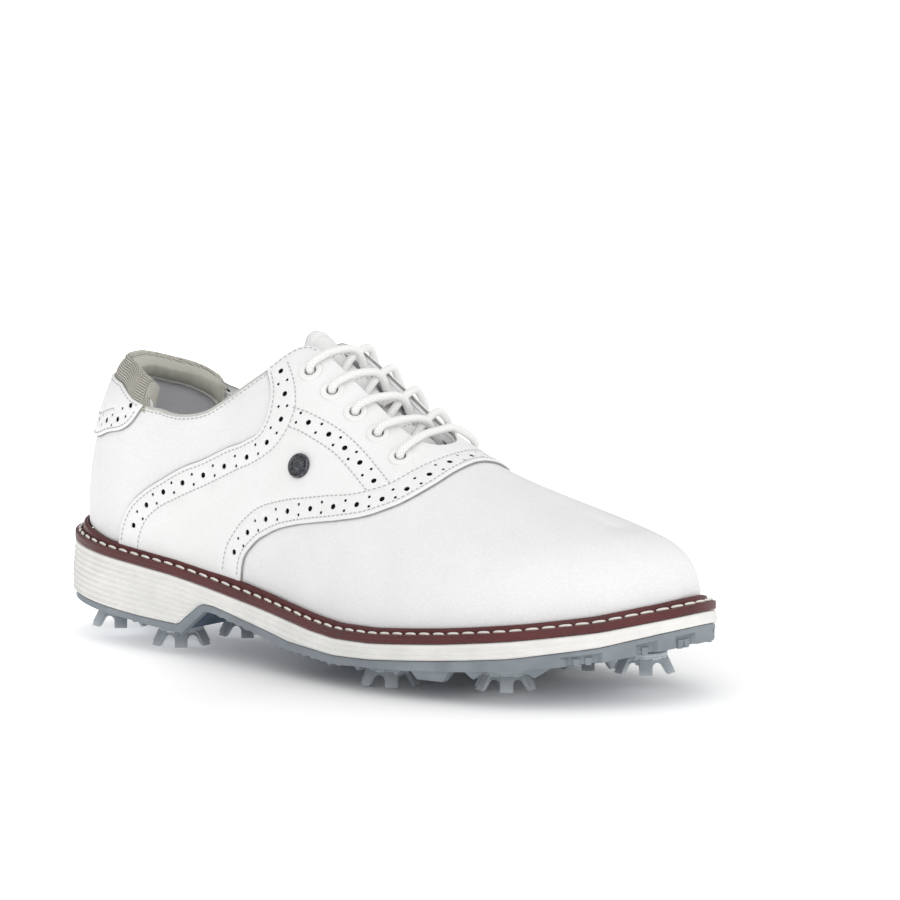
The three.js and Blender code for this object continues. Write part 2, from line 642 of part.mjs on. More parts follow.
// ---------------------------------------------------------------- tongue
// [x, half width]
const TONGUE_PLAN = [[45, 17], [30, 24], [0, 29], [-18, 31], [-25, 27], [-30, 17], [-32, 7]];
const TONGUE_MID = 3;
const TONGUE_SIDE = [[-60, 108], [-30, 103], [-10, 91], [20, 76], [52, 60], [52, 200], [-60, 200]];

// last surface without the inner facing's rise, lifted along the middle towards the top end
function tonguePoint(t, v, offset) {
  const { x, y } = lastPoint(t, v, false);
  const point = offsetPoint(t, v, TONGUE_TOP, false);
  point.z += 6.8 * smoothstep(-6, -34, x) * (1 - smoothstep(4, 17, Math.abs(y - THROAT_MID)));
  return point.addScaledVector(TONGUE_DIR, offset - TONGUE_TOP);
}

function tongueLayer(offsets, inset = 0) {
  const plan = [
    ...TONGUE_PLAN.map(([x, half]) => [x, TONGUE_MID - half + inset]),
    ...reversed(TONGUE_PLAN).map(([x, half]) => [x, TONGUE_MID + half - inset]),
  ];
  return shell(offsets, tonguePoint).intersect(planPrism(plan, 0, 240))
    .intersect(sidePrism(TONGUE_SIDE));
}
add('tongue_outer', tongueLayer(TONGUE_SKIN), 'white');
add('tongue_foam', tongueLayer(TONGUE_PAD), 'foam');
add('tongue_lining', tongueLayer(TONGUE_BACK, 1.6), 'liner');

// small webbing keeper lying on the slope of the tongue
function laceKeeper() {
  const x = 3.4;
  const slope = Math.atan2(14, 20);
  const z = spline(LAST_X, LAST.ridgeZ, x) - 8.4 / Math.cos(slope) + 2.6;
  return toSolid(new THREE.BoxGeometry(7, 12, 1.0).rotateY(slope).translate(x, 2.6, z));
}
add('tongue_lace_keeper', laceKeeper(), 'lace');

// ---------------------------------------------------------------- eyelets
const eyelet = lathe([[2.55, -4.3], [2.9, -4.3], [2.9, 2.1], [4.5, 2.1], [4.4, 2.5], [2.55, 2.8]], 8);
eyeletRows.forEach((row, i) => {
  for (const spot of [row.lateral, row.medial]) {
    add(`eyelet_${spot.tag}_${i + 1}`, placeAt(eyelet, spot), 'white');
  }
});

// ---------------------------------------------------------------- lace
// point at `offset` from the upper, nearest to plan position x, y
function pointOver(x, y, offset) {
  const outer = y < at(last.ridgeY, 0.25);
  let best = null;
  let bestDistance = 1e9;
  for (let i = 60; i < 240; i++) {
    const t = outer ? i / 480 : 1 - i / 480;
    for (let v = 0.5; v <= 0.99; v += 0.01) {
      const p = lastPoint(t, v);
      const distance = (p.x - x) ** 2 + (p.y - y) ** 2;
      if (distance < bestDistance) {
        bestDistance = distance;
        best = [t, v];
      }
    }
  }
  return offsetPoint(...best, offset);
}

// under the facing at `from`, across the throat, out over the facing at `to`
function crossing(from, to) {
  const { side, point: start } = from;
  const high = to.side < 0;   // at each crossing this strand passes over the other
  const [near, far] = side < 0 ? THROAT_Y : reversed(THROAT_Y);
  const stops = [   // [y, offset]
    [start.y - side * 3.2, LACE_IN],
    [near + side * 0.5, LACE_IN],
    [THROAT_MID, high ? 1.2 : -3.4],
    [far + side * 0.8, high ? 3.6 : 3.4],
    [far - side * 2.2, 4.1],
  ];
  return stops.map(([y, offset]) => {
    const share = (y - start.y) / (to.point.y - start.y);
    return pointOver(start.x + (to.point.x - start.x) * share, y, offset);
  });
}

// down through an eyelet, coming from the throat side
function through({ side, point, normal }) {
  const inward = new THREE.Vector3(0, -side, 0);
  inward.addScaledVector(normal, -inward.dot(normal)).normalize();
  return [[4.5, 2.3], [3.0, 0.35], [0.2, 0], [-4.7, 0]].map(([up, across]) =>
    point.clone().addScaledVector(normal, up).addScaledVector(inward, across));
}

// from the bottom bar up to the top row, ending tucked between lining and tongue
function laceRun(startTag) {
  const bottomRow = eyeletRows.length - 1;
  let spot = eyeletRows[bottomRow][startTag];
  const points = through(spot);
  for (let k = bottomRow - 1; k >= 0; k--) {
    const next = eyeletRows[k][spot.side < 0 ? 'medial' : 'lateral'];
    points.push(...crossing(spot, next), ...through(next));
    spot = next;
  }
  for (let i = 1; i <= 4; i++) {
    const t = spot.t + spot.side * 0.0008 * i;
    points.push(offsetPoint(t, spot.v - 0.012 - 0.042 * i, i === 1 ? -6.3 : -6.95));
  }
  return points;
}

// straight strand over the bottom row of eyelets
function bottomBar() {
  const { lateral: { point: a }, medial: { point: b } } = eyeletRows[eyeletRows.length - 1];
  return [0.28, 0.5, 0.72].map(share =>
    pointOver(a.x + (b.x - a.x) * share, a.y + (b.y - a.y) * share, 3.4));
}

function cord(points, steps, sides) {
  const section = Array.from({ length: sides }, (_, i) => {
    const angle = 2 * Math.PI * i / sides;
    return [LACE_R * Math.cos(angle), LACE_R * Math.sin(angle)];
  });
  const extrudePath = new THREE.CatmullRomCurve3(points, false, 'centripetal');
  const options = { steps, bevelEnabled: false, extrudePath };
  return toSolid(new THREE.ExtrudeGeometry(shapeOf(section), options));
}

// stiff tip that carries on straight from the end of a run
function aglet(run) {
  const [before, end] = run.slice(-2);
  const direction = end.clone().sub(before).normalize();
  return cord([0.4, 10].map(d => end.clone().addScaledVector(direction, d)), 1, 6);
}

const runA = laceRun('lateral');
const runB = laceRun('medial');
add('lace', cord([...reversed(runA), ...bottomBar(), ...runB], 132, 5), 'lace');
add('aglet_a', aglet(runA), 'lace');
add('aglet_b', aglet(runB), 'lace');

// ---------------------------------------------------------------- badge
const badgeCap = lathe([
  [0, -2.5], [1.1, -2.5], [1.1, 1.95], [4.75, 1.95], [4.75, 2.7], [4.0, 3.4], [0, 3.75],
], 14);
add('badge_cap', placeAt(badgeCap, badgeSpot), 'metal');
const badgeWasher = lathe([[1.5, -2.9], [2.3, -2.9], [2.3, -2.35], [1.5, -2.35]], 8);
add('badge_washer', placeAt(badgeWasher, badgeSpot), 'metal');

// origin to the middle of the bounding box, ground at the lowest cleat tips
const { min, max } = new THREE.Box3().setFromObject(group);
for (const mesh of group.children) {
  mesh.position.set(-(min.x + max.x) / 2, -(min.y + max.y) / 2, -min.z);
}
export default group;
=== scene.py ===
# Saddle shoe with a laced throat and eight soft spikes.
# Shapes are worked out in millimetres: toe towards +x, heel towards -x, lateral side towards -y,
# medial side towards +y, up +z. mesh_obj turns them into metres.
import math

import bmesh
import bpy
import numpy as np
from mathutils import Matrix, Vector, geometry


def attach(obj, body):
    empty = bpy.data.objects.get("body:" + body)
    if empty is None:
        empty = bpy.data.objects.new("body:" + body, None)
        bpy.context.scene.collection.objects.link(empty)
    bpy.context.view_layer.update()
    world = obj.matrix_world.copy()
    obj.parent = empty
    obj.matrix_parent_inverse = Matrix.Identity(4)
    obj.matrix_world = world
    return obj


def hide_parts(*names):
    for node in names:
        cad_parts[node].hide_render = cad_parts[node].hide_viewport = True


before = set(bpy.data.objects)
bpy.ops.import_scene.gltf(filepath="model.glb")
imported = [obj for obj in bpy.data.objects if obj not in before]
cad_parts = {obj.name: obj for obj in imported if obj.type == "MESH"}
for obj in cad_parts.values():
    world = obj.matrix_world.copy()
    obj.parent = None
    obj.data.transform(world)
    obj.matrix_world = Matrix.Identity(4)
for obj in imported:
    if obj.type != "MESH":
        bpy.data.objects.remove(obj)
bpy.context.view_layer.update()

SHIFT = np.array([0.22260, 0.40345, 0.0])    # mm, from these tables to the CAD frame
TAU = 2 * math.pi


def table(*rows):
    return np.array(rows, float)


# ---------------------------------------------------------------- last and sole tables (mm)
STEPS = 720                  # stations round the outline
# sole edge (x, y) from the heel along the lateral side to the toe and back; x starts at the heel
SOLE_EDGE = table(
    (0, 0), (4, -17), (14, -29), (32, -37.5), (60, -40), (95, -40.5), (125, -43.5), (155, -49),
    (185, -53.5), (210, -54), (235, -50), (258, -41.5), (277, -28), (291, -10), (299.6, 9),
    (297, 28), (287, 38.5), (270, 46.5), (248, 51.5), (222, 53.5), (198, 51.5), (170, 44),
    (140, 36.5), (112, 34), (85, 35.5), (58, 38), (32, 37), (14, 29), (4, 17)) - [150, 0]
TOE_INDEX = 14
WELT_IN = 6.0                # from the sole edge in to the feather edge
# the upper's section at each x of the outline
SECTION_X = [-150, -140, -120, -95, -70, -45, -20, 0, 20, 40, 60, 80, 100, 120, 135, 150]
SECTION = dict(
    ridge_x=[-123, -118, -104, -86, -67, -46, -22, 0, 20, 40, 59, 77, 92, 104, 110, 114],
    ridge_z=[116, 116, 116, 118, 125, 131, 125, 110.5, 96.5, 86.8, 79.8, 74.3, 70, 66.5, 64.5,
             63.5],
    # share of the feather edge's y that the ridge follows
    follow=[.66, .66, .67, .66, .42, 0, 0, 0, 0, 0, 0, 0, 0, 0, 0, 0],
    # superellipse exponent and extra bulge
    fullness=[1.35, 1.35, 1.35, 1.35, 1.6, 1.95, 2, 2, 2, 2, 2.05, 2.15, 2.25, 2.3, 2.3, 2.3],
    bulge=[2.5, 2.5, 2.5, 2, 1.5, 1, 1, 1, 1, 1, 1, 1, 1, .5, 0, 0],
    ridge_y=[0, 0, 0, 0, 0, 1, 2, 2.5, 3, 4, 5, 6, 7, 8, 9, 10],
    feather_z=[46, 45, 41.6, 37.9, 35.4, 32.8, 29, 25.6, 23.4, 23.8, 25.6, 27.5, 29.8, 32.2,
               34.6, 39],
    medial_lift=[0, 0, 0, 0, 0, 2.5, 4.5, 3.6, 2.2, .6, 0, 0, 0, 0, 0, 0])
# side-view lines (x, z)
WELT_LINE = table(
    (-160, 40.4), (-119, 36.6), (-75, 32.2), (-41, 27), (-10, 22.6), (8, 20), (22, 18.8),
    (42, 19.3), (75.5, 22.3), (103, 25.3), (131, 29.3), (147, 33.3), (160, 37))
OUTSOLE_TOP = table(
    (-160, 19.4), (-119, 16), (-92, 13.5), (-70, 12.4), (-59, 20.8), (-56, 22), (-50, 21.8),
    (-32, 18.3), (-5, 13.6), (22, 11.9), (42, 12.8), (75.5, 15.8), (103, 18.5), (131, 23.2),
    (147, 28.1), (160, 32))
OUTSOLE_BOTTOM = table(
    (-160, 17.4), (-119.5, 13.5), (-83, 10.2), (-68, 9.1), (-55, 19.4), (-49, 18.9),
    (-32, 15.5), (-8, 10.8), (22, 8.9), (60, 10.7), (103, 13.9), (131, 17.6), (147, 21.6),
    (160, 25))
TOPLINE_FRONT = table(
    (-91, 97.1), (-85, 95.6), (-78, 95), (-70, 96), (-64, 98), (-57, 102.6), (-48.6, 108.9),
    (-40.6, 114.9), (-36, 119.4), (-32, 123.2), (-28.6, 124.6), (-24, 125.2), (-21.5, 127),
    (-20, 160))
LEATHER_TOP = table(
    (-170, 106.9), (-125, 106.1), (-113, 104.2), (-104, 99.3), (-97, 97.4), (-91, 95.7),
    (-80, 94.4))
TAB_LOW = table(
    (-170, 80.6), (-125.5, 81.4), (-117, 84.3), (-106.5, 86.9), (-103.2, 89), (-97.6, 95.4),
    (-96, 100))
COUNTER_TOP = table((-170, 84), (-112, 82), (-88, 68), (-72, 46), (-66, 36), (-40, 30))
# cleat centres: x, y and the z of the tips
CLEATS = [(-127, -12, 3), (-88.7, -17.4, 0), (-83, 16, 0), (34, -31, 0), (34, 31, 0),
          (84, -22, 2.8), (79, 34, 3), (120, 18, 8)]
THROAT_MID, THROAT_HALF, THROAT_FRONT = 2.5, 10.5, 35.4
THROAT_Y = (THROAT_MID - THROAT_HALF, THROAT_MID + THROAT_HALF)


# ---------------------------------------------------------------- curve helpers
def unit(vectors):
    return vectors / np.linalg.norm(vectors, axis=-1, keepdims=True)


def arc_length(points):
    return np.r_[0, np.cumsum(np.linalg.norm(np.diff(points, axis=0), axis=1))]


def columns_at(where, knots, values):
    return np.stack([np.interp(where, knots, column) for column in values.T], 1)


def spline(knots, values, x):
    """non-uniform Catmull-Rom through (knots, values), clamped at the ends"""
    knots = np.asarray(knots, float)
    values = np.asarray(values, float)
    flat = values.ndim == 1
    if flat:
        values = values[:, None]
    gap = np.diff(knots)
    slope = np.diff(values, axis=0) / gap[:, None]
    tangent = np.zeros_like(values)
    tangent[1:-1] = (slope[1:] * gap[:-1, None] + slope[:-1] * gap[1:, None]) \
        / (gap[1:] + gap[:-1])[:, None]
    tangent[0] = slope[0]
    tangent[-1] = slope[-1]
    x = np.clip(np.asarray(x, float), knots[0], knots[-1])
    i = np.clip(np.searchsorted(knots, x, side='right') - 1, 0, len(gap) - 1)
    u = ((x - knots[i]) / gap[i])[..., None]
    span = gap[i][..., None]
    result = (2 * u**3 - 3 * u**2 + 1) * values[i] + (u**3 - 2 * u**2 + u) * span * tangent[i] \
        + (-2 * u**3 + 3 * u**2) * values[i + 1] + (u**3 - u**2) * span * tangent[i + 1]
    return result[..., 0] if flat else result


def smooth_ring(values, rounds):
    for _ in range(rounds):
        values = 0.25 * np.roll(values, 1, 0) + 0.5 * values + 0.25 * np.roll(values, -1, 0)
    return values


def soften(line, rounds=3, fixed=2):
    """smooths an open line; the first and last fixed points stay"""
    line = line.copy()
    for _ in range(rounds):
        line[fixed:-fixed] = .25 * line[fixed - 1:-fixed - 1] + .5 * line[fixed:-fixed] \
            + .25 * line[fixed + 1:len(line) - fixed + 1]
    return line


def ease(start, end, x):
    """smooth step from 0 at start to 1 at end"""
    u = np.clip((np.asarray(x, float) - start) / (end - start), 0, 1)
    return u * u * (3 - 2 * u)


def line_z(line, x):
    return np.interp(x, line[:, 0], line[:, 1])


# ---------------------------------------------------------------- surface of the upper
def sole_outline():
    """outline with the toe at station 0.5"""
    wrapped = np.vstack([SOLE_EDGE[-3:], SOLE_EDGE, SOLE_EDGE[:4]])
    dist = arc_length(wrapped)
    dist -= dist[3]
    total = dist[3 + len(SOLE_EDGE)]
    toe = dist[3 + TOE_INDEX]
    t = np.arange(STEPS) / STEPS
    where = np.where(t < 0.5, t * 2 * toe, toe + (t - 0.5) * 2 * (total - toe))
    return smooth_ring(spline(dist, wrapped, where), 40)


OUTLINE = sole_outline()
tangent = unit(np.roll(OUTLINE, -1, 0) - np.roll(OUTLINE, 1, 0))
OUTWARD = np.c_[tangent[:, 1], -tangent[:, 0]]
FEATHER = OUTLINE - OUTWARD * WELT_IN
RING = {key: smooth_ring(spline(SECTION_X, values, np.clip(OUTLINE[:, 0], -150, 150)), 12)
        for key, values in SECTION.items()}
RIDGE = np.c_[RING['ridge_x'], RING['ridge_y'] + RING['follow'] * FEATHER[:, 1]]


def at(ring, station):
    """value of a ring table at stations; 0 is the back of the heel"""
    u = np.asarray(station, float) % 1.0 * STEPS
    i = np.floor(u).astype(int) % STEPS
    part = u - np.floor(u)
    if ring.ndim > 1:
        part = part[..., None]
    return ring[i] * (1 - part) + ring[(i + 1) % STEPS] * part


def upper(station, level, lift=1.0):
    """base surface: station runs round the sole, level from the feather edge (0) to the ridge (1)"""
    station = np.asarray(station, float) % 1.0
    foot, ridge = at(FEATHER, station), at(RIDGE, station)
    power = at(RING['fullness'], station)
    low, high = at(RING['feather_z'], station), at(RING['ridge_z'], station)
    angle = np.asarray(level, float) * np.pi / 2
    cos = np.maximum(np.cos(angle), 1e-9)
    sin = np.maximum(np.sin(angle), 1e-9)
    radius = (cos**power + sin**power)**(-1 / power)
    flat, rise = radius * cos, radius * sin
    swell = at(RING['bulge'], station) * 4 * rise * (1 - rise)
    xy = ridge + (foot - ridge) * flat[..., None] + at(OUTWARD, station) * swell[..., None]
    medial = np.where(station > 0.5, at(RING['medial_lift'], station), 0)
    z = low + (high - low) * rise + lift * medial * rise * rise * np.minimum(1, flat * 4)
    return np.concatenate([xy, z[..., None]], -1)


def upper_normal(station, level, lift=1.0):
    station = np.asarray(station, float)
    level = np.asarray(level, float)
    mid = np.clip(level, 0.012, 0.955)
    around = upper(station + .002, mid, lift) - upper(station - .002, mid, lift)
    up = upper(station, np.minimum(mid + 0.012, 0.999), lift) - upper(station, mid - 0.012, lift)
    normal = unit(np.cross(around, up))
    # near the ridge the sideways part fades out, so both sides meet without a crease
    fade = ease(.78, .967, level) * np.maximum(0, 1 - 6 * np.abs(at(RING['follow'], station)))
    normal[..., 1] *= 1 - fade
    return unit(normal)


def upper_offset(station, level, dist):
    shift = np.asarray(dist, float)[..., None]
    return upper(station, level) + upper_normal(station, level) * shift


# Map coordinates (along, over): along is the lateral station, over crosses the ridge at 1.
# Both sides are paired by equal outline x.
medial_index = np.arange(STEPS // 2, STEPS + 1)
medial_x = np.minimum.accumulate(OUTLINE[medial_index % STEPS, 0]) \
    - np.arange(len(medial_index)) * 1e-7


def medial_station(along):
    along = np.clip(np.asarray(along, float), 0, 0.5)
    paired = np.interp(-at(OUTLINE[:, 0], along), -medial_x, medial_index / STEPS)
    return np.where(along >= 0.5, 0.5, paired)


def station_level(along, over):
    along, over = np.asarray(along, float), np.asarray(over, float)
    medial = over > 1
    return np.where(medial, medial_station(along), along), np.where(medial, 2 - over, over)


def on_map(along, over, dist=0.0):
    return upper_offset(*station_level(along, over), dist)


def map_normal(along, over):
    return upper_normal(*station_level(along, over))


def map_point(along, over, dist=0.0):
    return on_map(np.array([along]), np.array([over]), dist)[0]


def point_normal(along, over):
    return map_normal(np.array([along]), np.array([over]))[0]


def solve_plan(surface, x, y, along, over, rounds, max_step, along_range, over_range):
    """Newton steps to the map coordinates whose surface point lies at plan x, y"""
    for _ in range(rounds):
        here = surface(along, over)[:, :2]
        by_along = (surface(along + 1e-4, over)[:, :2] - here) / 1e-4
        by_over = (surface(along, over + 1e-3)[:, :2] - here) / 1e-3
        miss = np.c_[x, y] - here
        det = by_along[:, 0] * by_over[:, 1] - by_along[:, 1] * by_over[:, 0]
        det = np.where(np.abs(det) < 1e-6, 1e-6, det)
        step = (miss[:, 0] * by_over[:, 1] - miss[:, 1] * by_over[:, 0]) / det
        along = np.clip(along + np.clip(step, -max_step[0], max_step[0]), *along_range)
        step = (by_along[:, 0] * miss[:, 1] - by_along[:, 1] * miss[:, 0]) / det
        over = np.clip(over + np.clip(step, -max_step[1], max_step[1]), *over_range)
    return along, over


guess_along, guess_over = [grid.ravel() for grid in np.meshgrid(
    np.linspace(0.1, 0.42, 161), np.linspace(0.3, 1.7, 141), indexing='ij')]
guess_points = on_map(guess_along, guess_over)


def map_from_plan(x, y):
    x = np.atleast_1d(np.asarray(x, float))
    y = np.atleast_1d(np.asarray(y, float))
    near = np.argmin((guess_points[None, :, 0] - x[:, None])**2
                     + (guess_points[None, :, 1] - y[:, None])**2, 1)
    return solve_plan(on_map, x, y, guess_along[near], guess_over[near], 14, (.02, .1),
                      (.02, .48), (.02, 1.98))


def find_level(station, target_z, low, rounds):
    """bisects for the level at which the upper reaches target_z(points)"""
    low, high = np.full(station.shape, low), np.full(station.shape, 0.9995)
    for _ in range(rounds):
        mid = (low + high) / 2
        points = upper(station, mid)
        below = points[..., 2] < target_z(points)
        low = np.where(below, mid, low)
        high = np.where(below, high, mid)
    return (low + high) / 2


def level_on_line(line, station, rise=0.0, low=0.25):
    """level at which the upper meets a side-view line raised by rise"""
    return find_level(station, lambda points: line_z(line, points[..., 0]) + rise, low, 40)


def level_at_z(z, station):
    return find_level(station, lambda points: z, .2, 26)


def map_slopes(along, over):
    return ((on_map(along + 2e-4, over) - on_map(along - 2e-4, over)) / (2 * 2e-4),
            (on_map(along, over + 2e-3) - on_map(along, over - 2e-3)) / (2 * 2e-3))


def step_map(along, over, move):
    """moves map coordinates by the in-surface vector move (mm)"""
    a, b = map_slopes(along, over)
    aa, bb, ab = (a * a).sum(-1), (b * b).sum(-1), (a * b).sum(-1)
    ma, mb = (a * move).sum(-1), (b * move).sum(-1)
    det = aa * bb - ab * ab
    return along + (ma * bb - mb * ab) / det, over + (mb * aa - ma * ab) / det


# ---------------------------------------------------------------- lines on the map
MAP_SCALE = np.array([750, 75.0])    # rough mm per unit of along and over


def respace(line, step):
    """same line with points at equal spacing on the surface"""
    length = arc_length(on_map(line[:, 0], line[:, 1]))
    count = max(2, int(round(length[-1] / step)) + 1)
    return columns_at(np.linspace(0, length[-1], count), length, line)


def curve(points, step=1.3):
    points = np.asarray(points, float)
    dist = arc_length(points * MAP_SCALE)
    fine = np.linspace(0, dist[-1], max(200, int(dist[-1] * 3)))
    return respace(spline(dist, points, fine), step)


def offset_line(line, dist, closed=False):
    """line moved dist mm to the left of travel, seen from outside"""
    points = on_map(line[:, 0], line[:, 1])
    if closed:
        travel = np.roll(points, -1, 0) - np.roll(points, 1, 0)
    else:
        travel = np.gradient(points, axis=0)
    travel /= np.linalg.norm(travel, axis=1)[:, None] + 1e-12
    side = unit(np.cross(map_normal(line[:, 0], line[:, 1]), travel))
    return np.c_[step_map(line[:, 0], line[:, 1], side * dist)]


def trim(line, start, end):
    """drops start and end mm from the ends"""
    length = arc_length(on_map(line[:, 0], line[:, 1]))
    return line[(length >= start) & (length <= length[-1] - end)]


def mirrored(line):
    """same line on the other side of the ridge"""
    line = np.asarray(line, float)
    return np.c_[line[:, 0], 2 - line[:, 1]]


def across_ridge(line):
    return np.vstack([line, mirrored(line[:-1])[::-1]])


def level_line(start, end, over):
    return respace(np.c_[np.linspace(start, end, 60), np.full(60, over)], 1.6)


def circle(along, over, radius, count):
    a, b = (slope[0] for slope in map_slopes(np.array([along]), np.array([over])))
    first = a / np.linalg.norm(a)
    second = b - b.dot(first) * first
    second /= np.linalg.norm(second)
    angle = np.arange(count) * TAU / count
    move = radius * (np.cos(angle)[:, None] * first + np.sin(angle)[:, None] * second)
    return np.c_[step_map(np.full(count, along), np.full(count, over), move)]


def counter_clockwise(loop):
    nxt = np.roll(loop, -1, 0)
    area = 0.5 * np.sum(loop[:, 0] * nxt[:, 1] - nxt[:, 0] * loop[:, 1])
    return loop[::-1] if area < 0 else loop


def inside(loop, points):
    x, y = points[:, 0], points[:, 1]
    result = np.zeros(len(points), bool)
    for i in range(len(loop)):
        x1, y1 = loop[i]
        x2, y2 = loop[(i + 1) % len(loop)]
        if y1 != y2:
            result ^= ((y1 > y) != (y2 > y)) & (x < (x2 - x1) * (y - y1) / (y2 - y1) + x1)
    return result


def line_distance(points, loops=(), lines=()):
    """smallest distance (mm) from points to closed loops and open lines on the map"""
    starts, ends = [], []
    for loop in loops:
        path = on_map(loop[:, 0], loop[:, 1])
        starts.append(path)
        ends.append(np.roll(path, -1, 0))
    for line in lines:
        path = on_map(line[:, 0], line[:, 1])
        starts.append(path[:-1])
        ends.append(path[1:])
    start = np.vstack(starts)
    run = np.vstack(ends) - start
    square = np.maximum((run * run).sum(1), 1e-12)
    result = np.full(len(points), 1e9)
    for i in range(0, len(points), 4000):
        part = points[i:i + 4000, None]
        u = np.clip(((part - start) * run).sum(-1) / square, 0, 1)
        gap = (start + u[..., None] * run) - part
        result[i:i + 4000] = np.sqrt((gap**2).sum(-1)).min(1)
    return result


def hole_distance(points, holes):
    centres = on_map(np.array([h[0] for h in holes]), np.array([h[1] for h in holes]))
    radii = np.array([h[2] for h in holes])
    return (np.linalg.norm(points[:, None] - centres[None], axis=-1) - radii[None]).min(1)


# ---------------------------------------------------------------- mesh helpers
MATERIALS = {}


def to_metres(points):
    return (np.asarray(points, float) + SHIFT) / 1000.0


def tidy(mesh, sharp):
    """merges doubles, faces all normals outwards and marks edges above sharp degrees"""
    bm = bmesh.new()
    bm.from_mesh(mesh)
    bmesh.ops.remove_doubles(bm, verts=bm.verts, dist=2e-7)
    bmesh.ops.dissolve_degenerate(bm, dist=1e-7, edges=bm.edges)
    loose = [v for v in bm.verts if not v.link_faces]
    if loose:
        bmesh.ops.delete(bm, geom=loose, context='VERTS')
    bmesh.ops.recalc_face_normals(bm, faces=bm.faces)
    limit = math.radians(sharp)
    for face in bm.faces:
        face.smooth = True
    for edge in bm.edges:
        edge.smooth = not (len(edge.link_faces) == 2 and edge.calc_face_angle(0) > limit)
    bm.to_mesh(mesh)
    bm.free()


def mesh_obj(name, shape, materials, sharp=38, face_mats=None, uv=None):
    """object from shape, a pair of vertices (mm) and faces"""
    verts, faces = shape
    mesh = bpy.data.meshes.new(name)
    mesh.from_pydata(to_metres(verts).tolist(), [], [tuple(int(i) for i in f) for f in faces])
    for material in materials:
        mesh.materials.append(MATERIALS[material])
    if face_mats is not None:
        mesh.polygons.foreach_set('material_index', np.asarray(face_mats, np.int32))
    if uv is not None:
        layer = mesh.uv_layers.new(name='UVMap')
        index = np.zeros(len(mesh.loops), np.int32)
        mesh.loops.foreach_get('vertex_index', index)
        layer.data.foreach_set('uv', np.asarray(uv, np.float32)[index].ravel())
    obj = bpy.data.objects.new(name, mesh)
    bpy.context.scene.collection.objects.link(obj)
    tidy(mesh, sharp)
    return obj


def place(obj, replaces, body='shoe'):
    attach(obj, body)
    if replaces:
        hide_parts(*replaces)


def piece(name, shape, materials, slot, replaces=None, body='shoe', **look):
    """finished object; unless told otherwise it replaces the CAD piece of its own name"""
    obj = mesh_obj(name, shape, materials, **look)
    place(obj, (name,) if replaces is None else replaces, body)
    return obj


def grid_faces(rows, cols, close_rows=False, close_cols=False, start=0, flip=False):
    r, c = np.meshgrid(np.arange(rows if close_rows else rows - 1),
                       np.arange(cols if close_cols else cols - 1), indexing='ij')
    r, c = r.ravel(), c.ravel()
    r2, c2 = (r + 1) % rows, (c + 1) % cols
    quads = np.c_[r * cols + c, r * cols + c2, r2 * cols + c2, r2 * cols + c] + start
    return (quads[:, ::-1] if flip else quads).tolist()


def loft_faces(rows, cols, flip_caps=False):
    """skin over closed sections with a cap at each end"""
    first = tuple(range(cols))
    last = tuple(range((rows - 1) * cols, rows * cols))
    caps = [first, last[::-1]] if flip_caps else [first[::-1], last]
    return grid_faces(rows, cols, close_cols=True) + caps


def shell_grid(outer, inner):
    """closed body between two open grids of the same size"""
    rows, cols = outer.shape[:2]
    count = rows * cols
    faces = grid_faces(rows, cols) + grid_faces(rows, cols, start=count, flip=True)
    rim = list(range(cols)) + [r * cols + cols - 1 for r in range(1, rows)] \
        + [(rows - 1) * cols + c for c in range(cols - 2, -1, -1)] \
        + [r * cols for r in range(rows - 2, 0, -1)]
    for a, b in zip(rim, rim[1:] + rim[:1]):
        faces.append((a, a + count, b + count, b))
    return np.vstack([outer.reshape(-1, 3), inner.reshape(-1, 3)]), faces


def join_parts(parts):
    verts, faces, start = [], [], 0
    for part_verts, part_faces in parts:
        verts.append(np.asarray(part_verts, float))
        faces += [tuple(i + start for i in face) for face in part_faces]
        start += len(part_verts)
    return np.vstack(verts), faces


def lathe(profile, seg=48, closed=True):
    """turns a profile of (radius, z) about z"""
    prof = np.asarray(profile, float)
    a = np.arange(seg) * TAU / seg
    height = np.broadcast_to(prof[:, None, 1], (len(prof), seg))
    verts = np.stack([prof[:, None, 0] * np.cos(a), prof[:, None, 0] * np.sin(a), height], -1)
    return verts.reshape(-1, 3), grid_faces(len(prof), seg, close_rows=closed, close_cols=True)


def rounded(profile, radius=0.2, steps=3, closed=True):
    """rounds the corners of a 2-D profile; a point may carry its own radius as third value"""
    count = len(profile)
    result = []
    for i, point in enumerate(profile):
        own = point[2] if len(point) > 2 else radius
        corner = np.array(point[:2], float)
        if own <= 0 or (not closed and i in (0, count - 1)):
            result.append(corner)
            continue
        back = np.array(profile[i - 1][:2], float) - corner
        ahead = np.array(profile[(i + 1) % count][:2], float) - corner
        back_len, ahead_len = np.linalg.norm(back), np.linalg.norm(ahead)
        cut = min(own, back_len * .45, ahead_len * .45)
        start, end = corner + back / back_len * cut, corner + ahead / ahead_len * cut
        for j in range(steps + 1):
            u = j / steps
            result.append(start * (1 - u)**2 + 2 * corner * u * (1 - u) + end * u * u)
    return np.array(result)


def box_section(half_x, half_y, radius, steps):
    return rounded([(-half_x, -half_y), (half_x, -half_y), (half_x, half_y), (-half_x, half_y)],
                   radius, steps)


def rotated(verts, angle):
    """turned about z"""
    x, y, z = verts.T
    cos, sin = math.cos(angle), math.sin(angle)
    return np.c_[x * cos - y * sin, x * sin + y * cos, z]


def seated(verts, origin, normal, along=(1, 0, 0)):
    """verts moved to origin with their z axis on normal and their x axis towards along"""
    z = unit(np.asarray(normal, float))
    x = unit(np.asarray(along, float) - np.dot(along, z) * z)
    return np.asarray(verts) @ np.array([x, np.cross(z, x), z]) + np.asarray(origin)


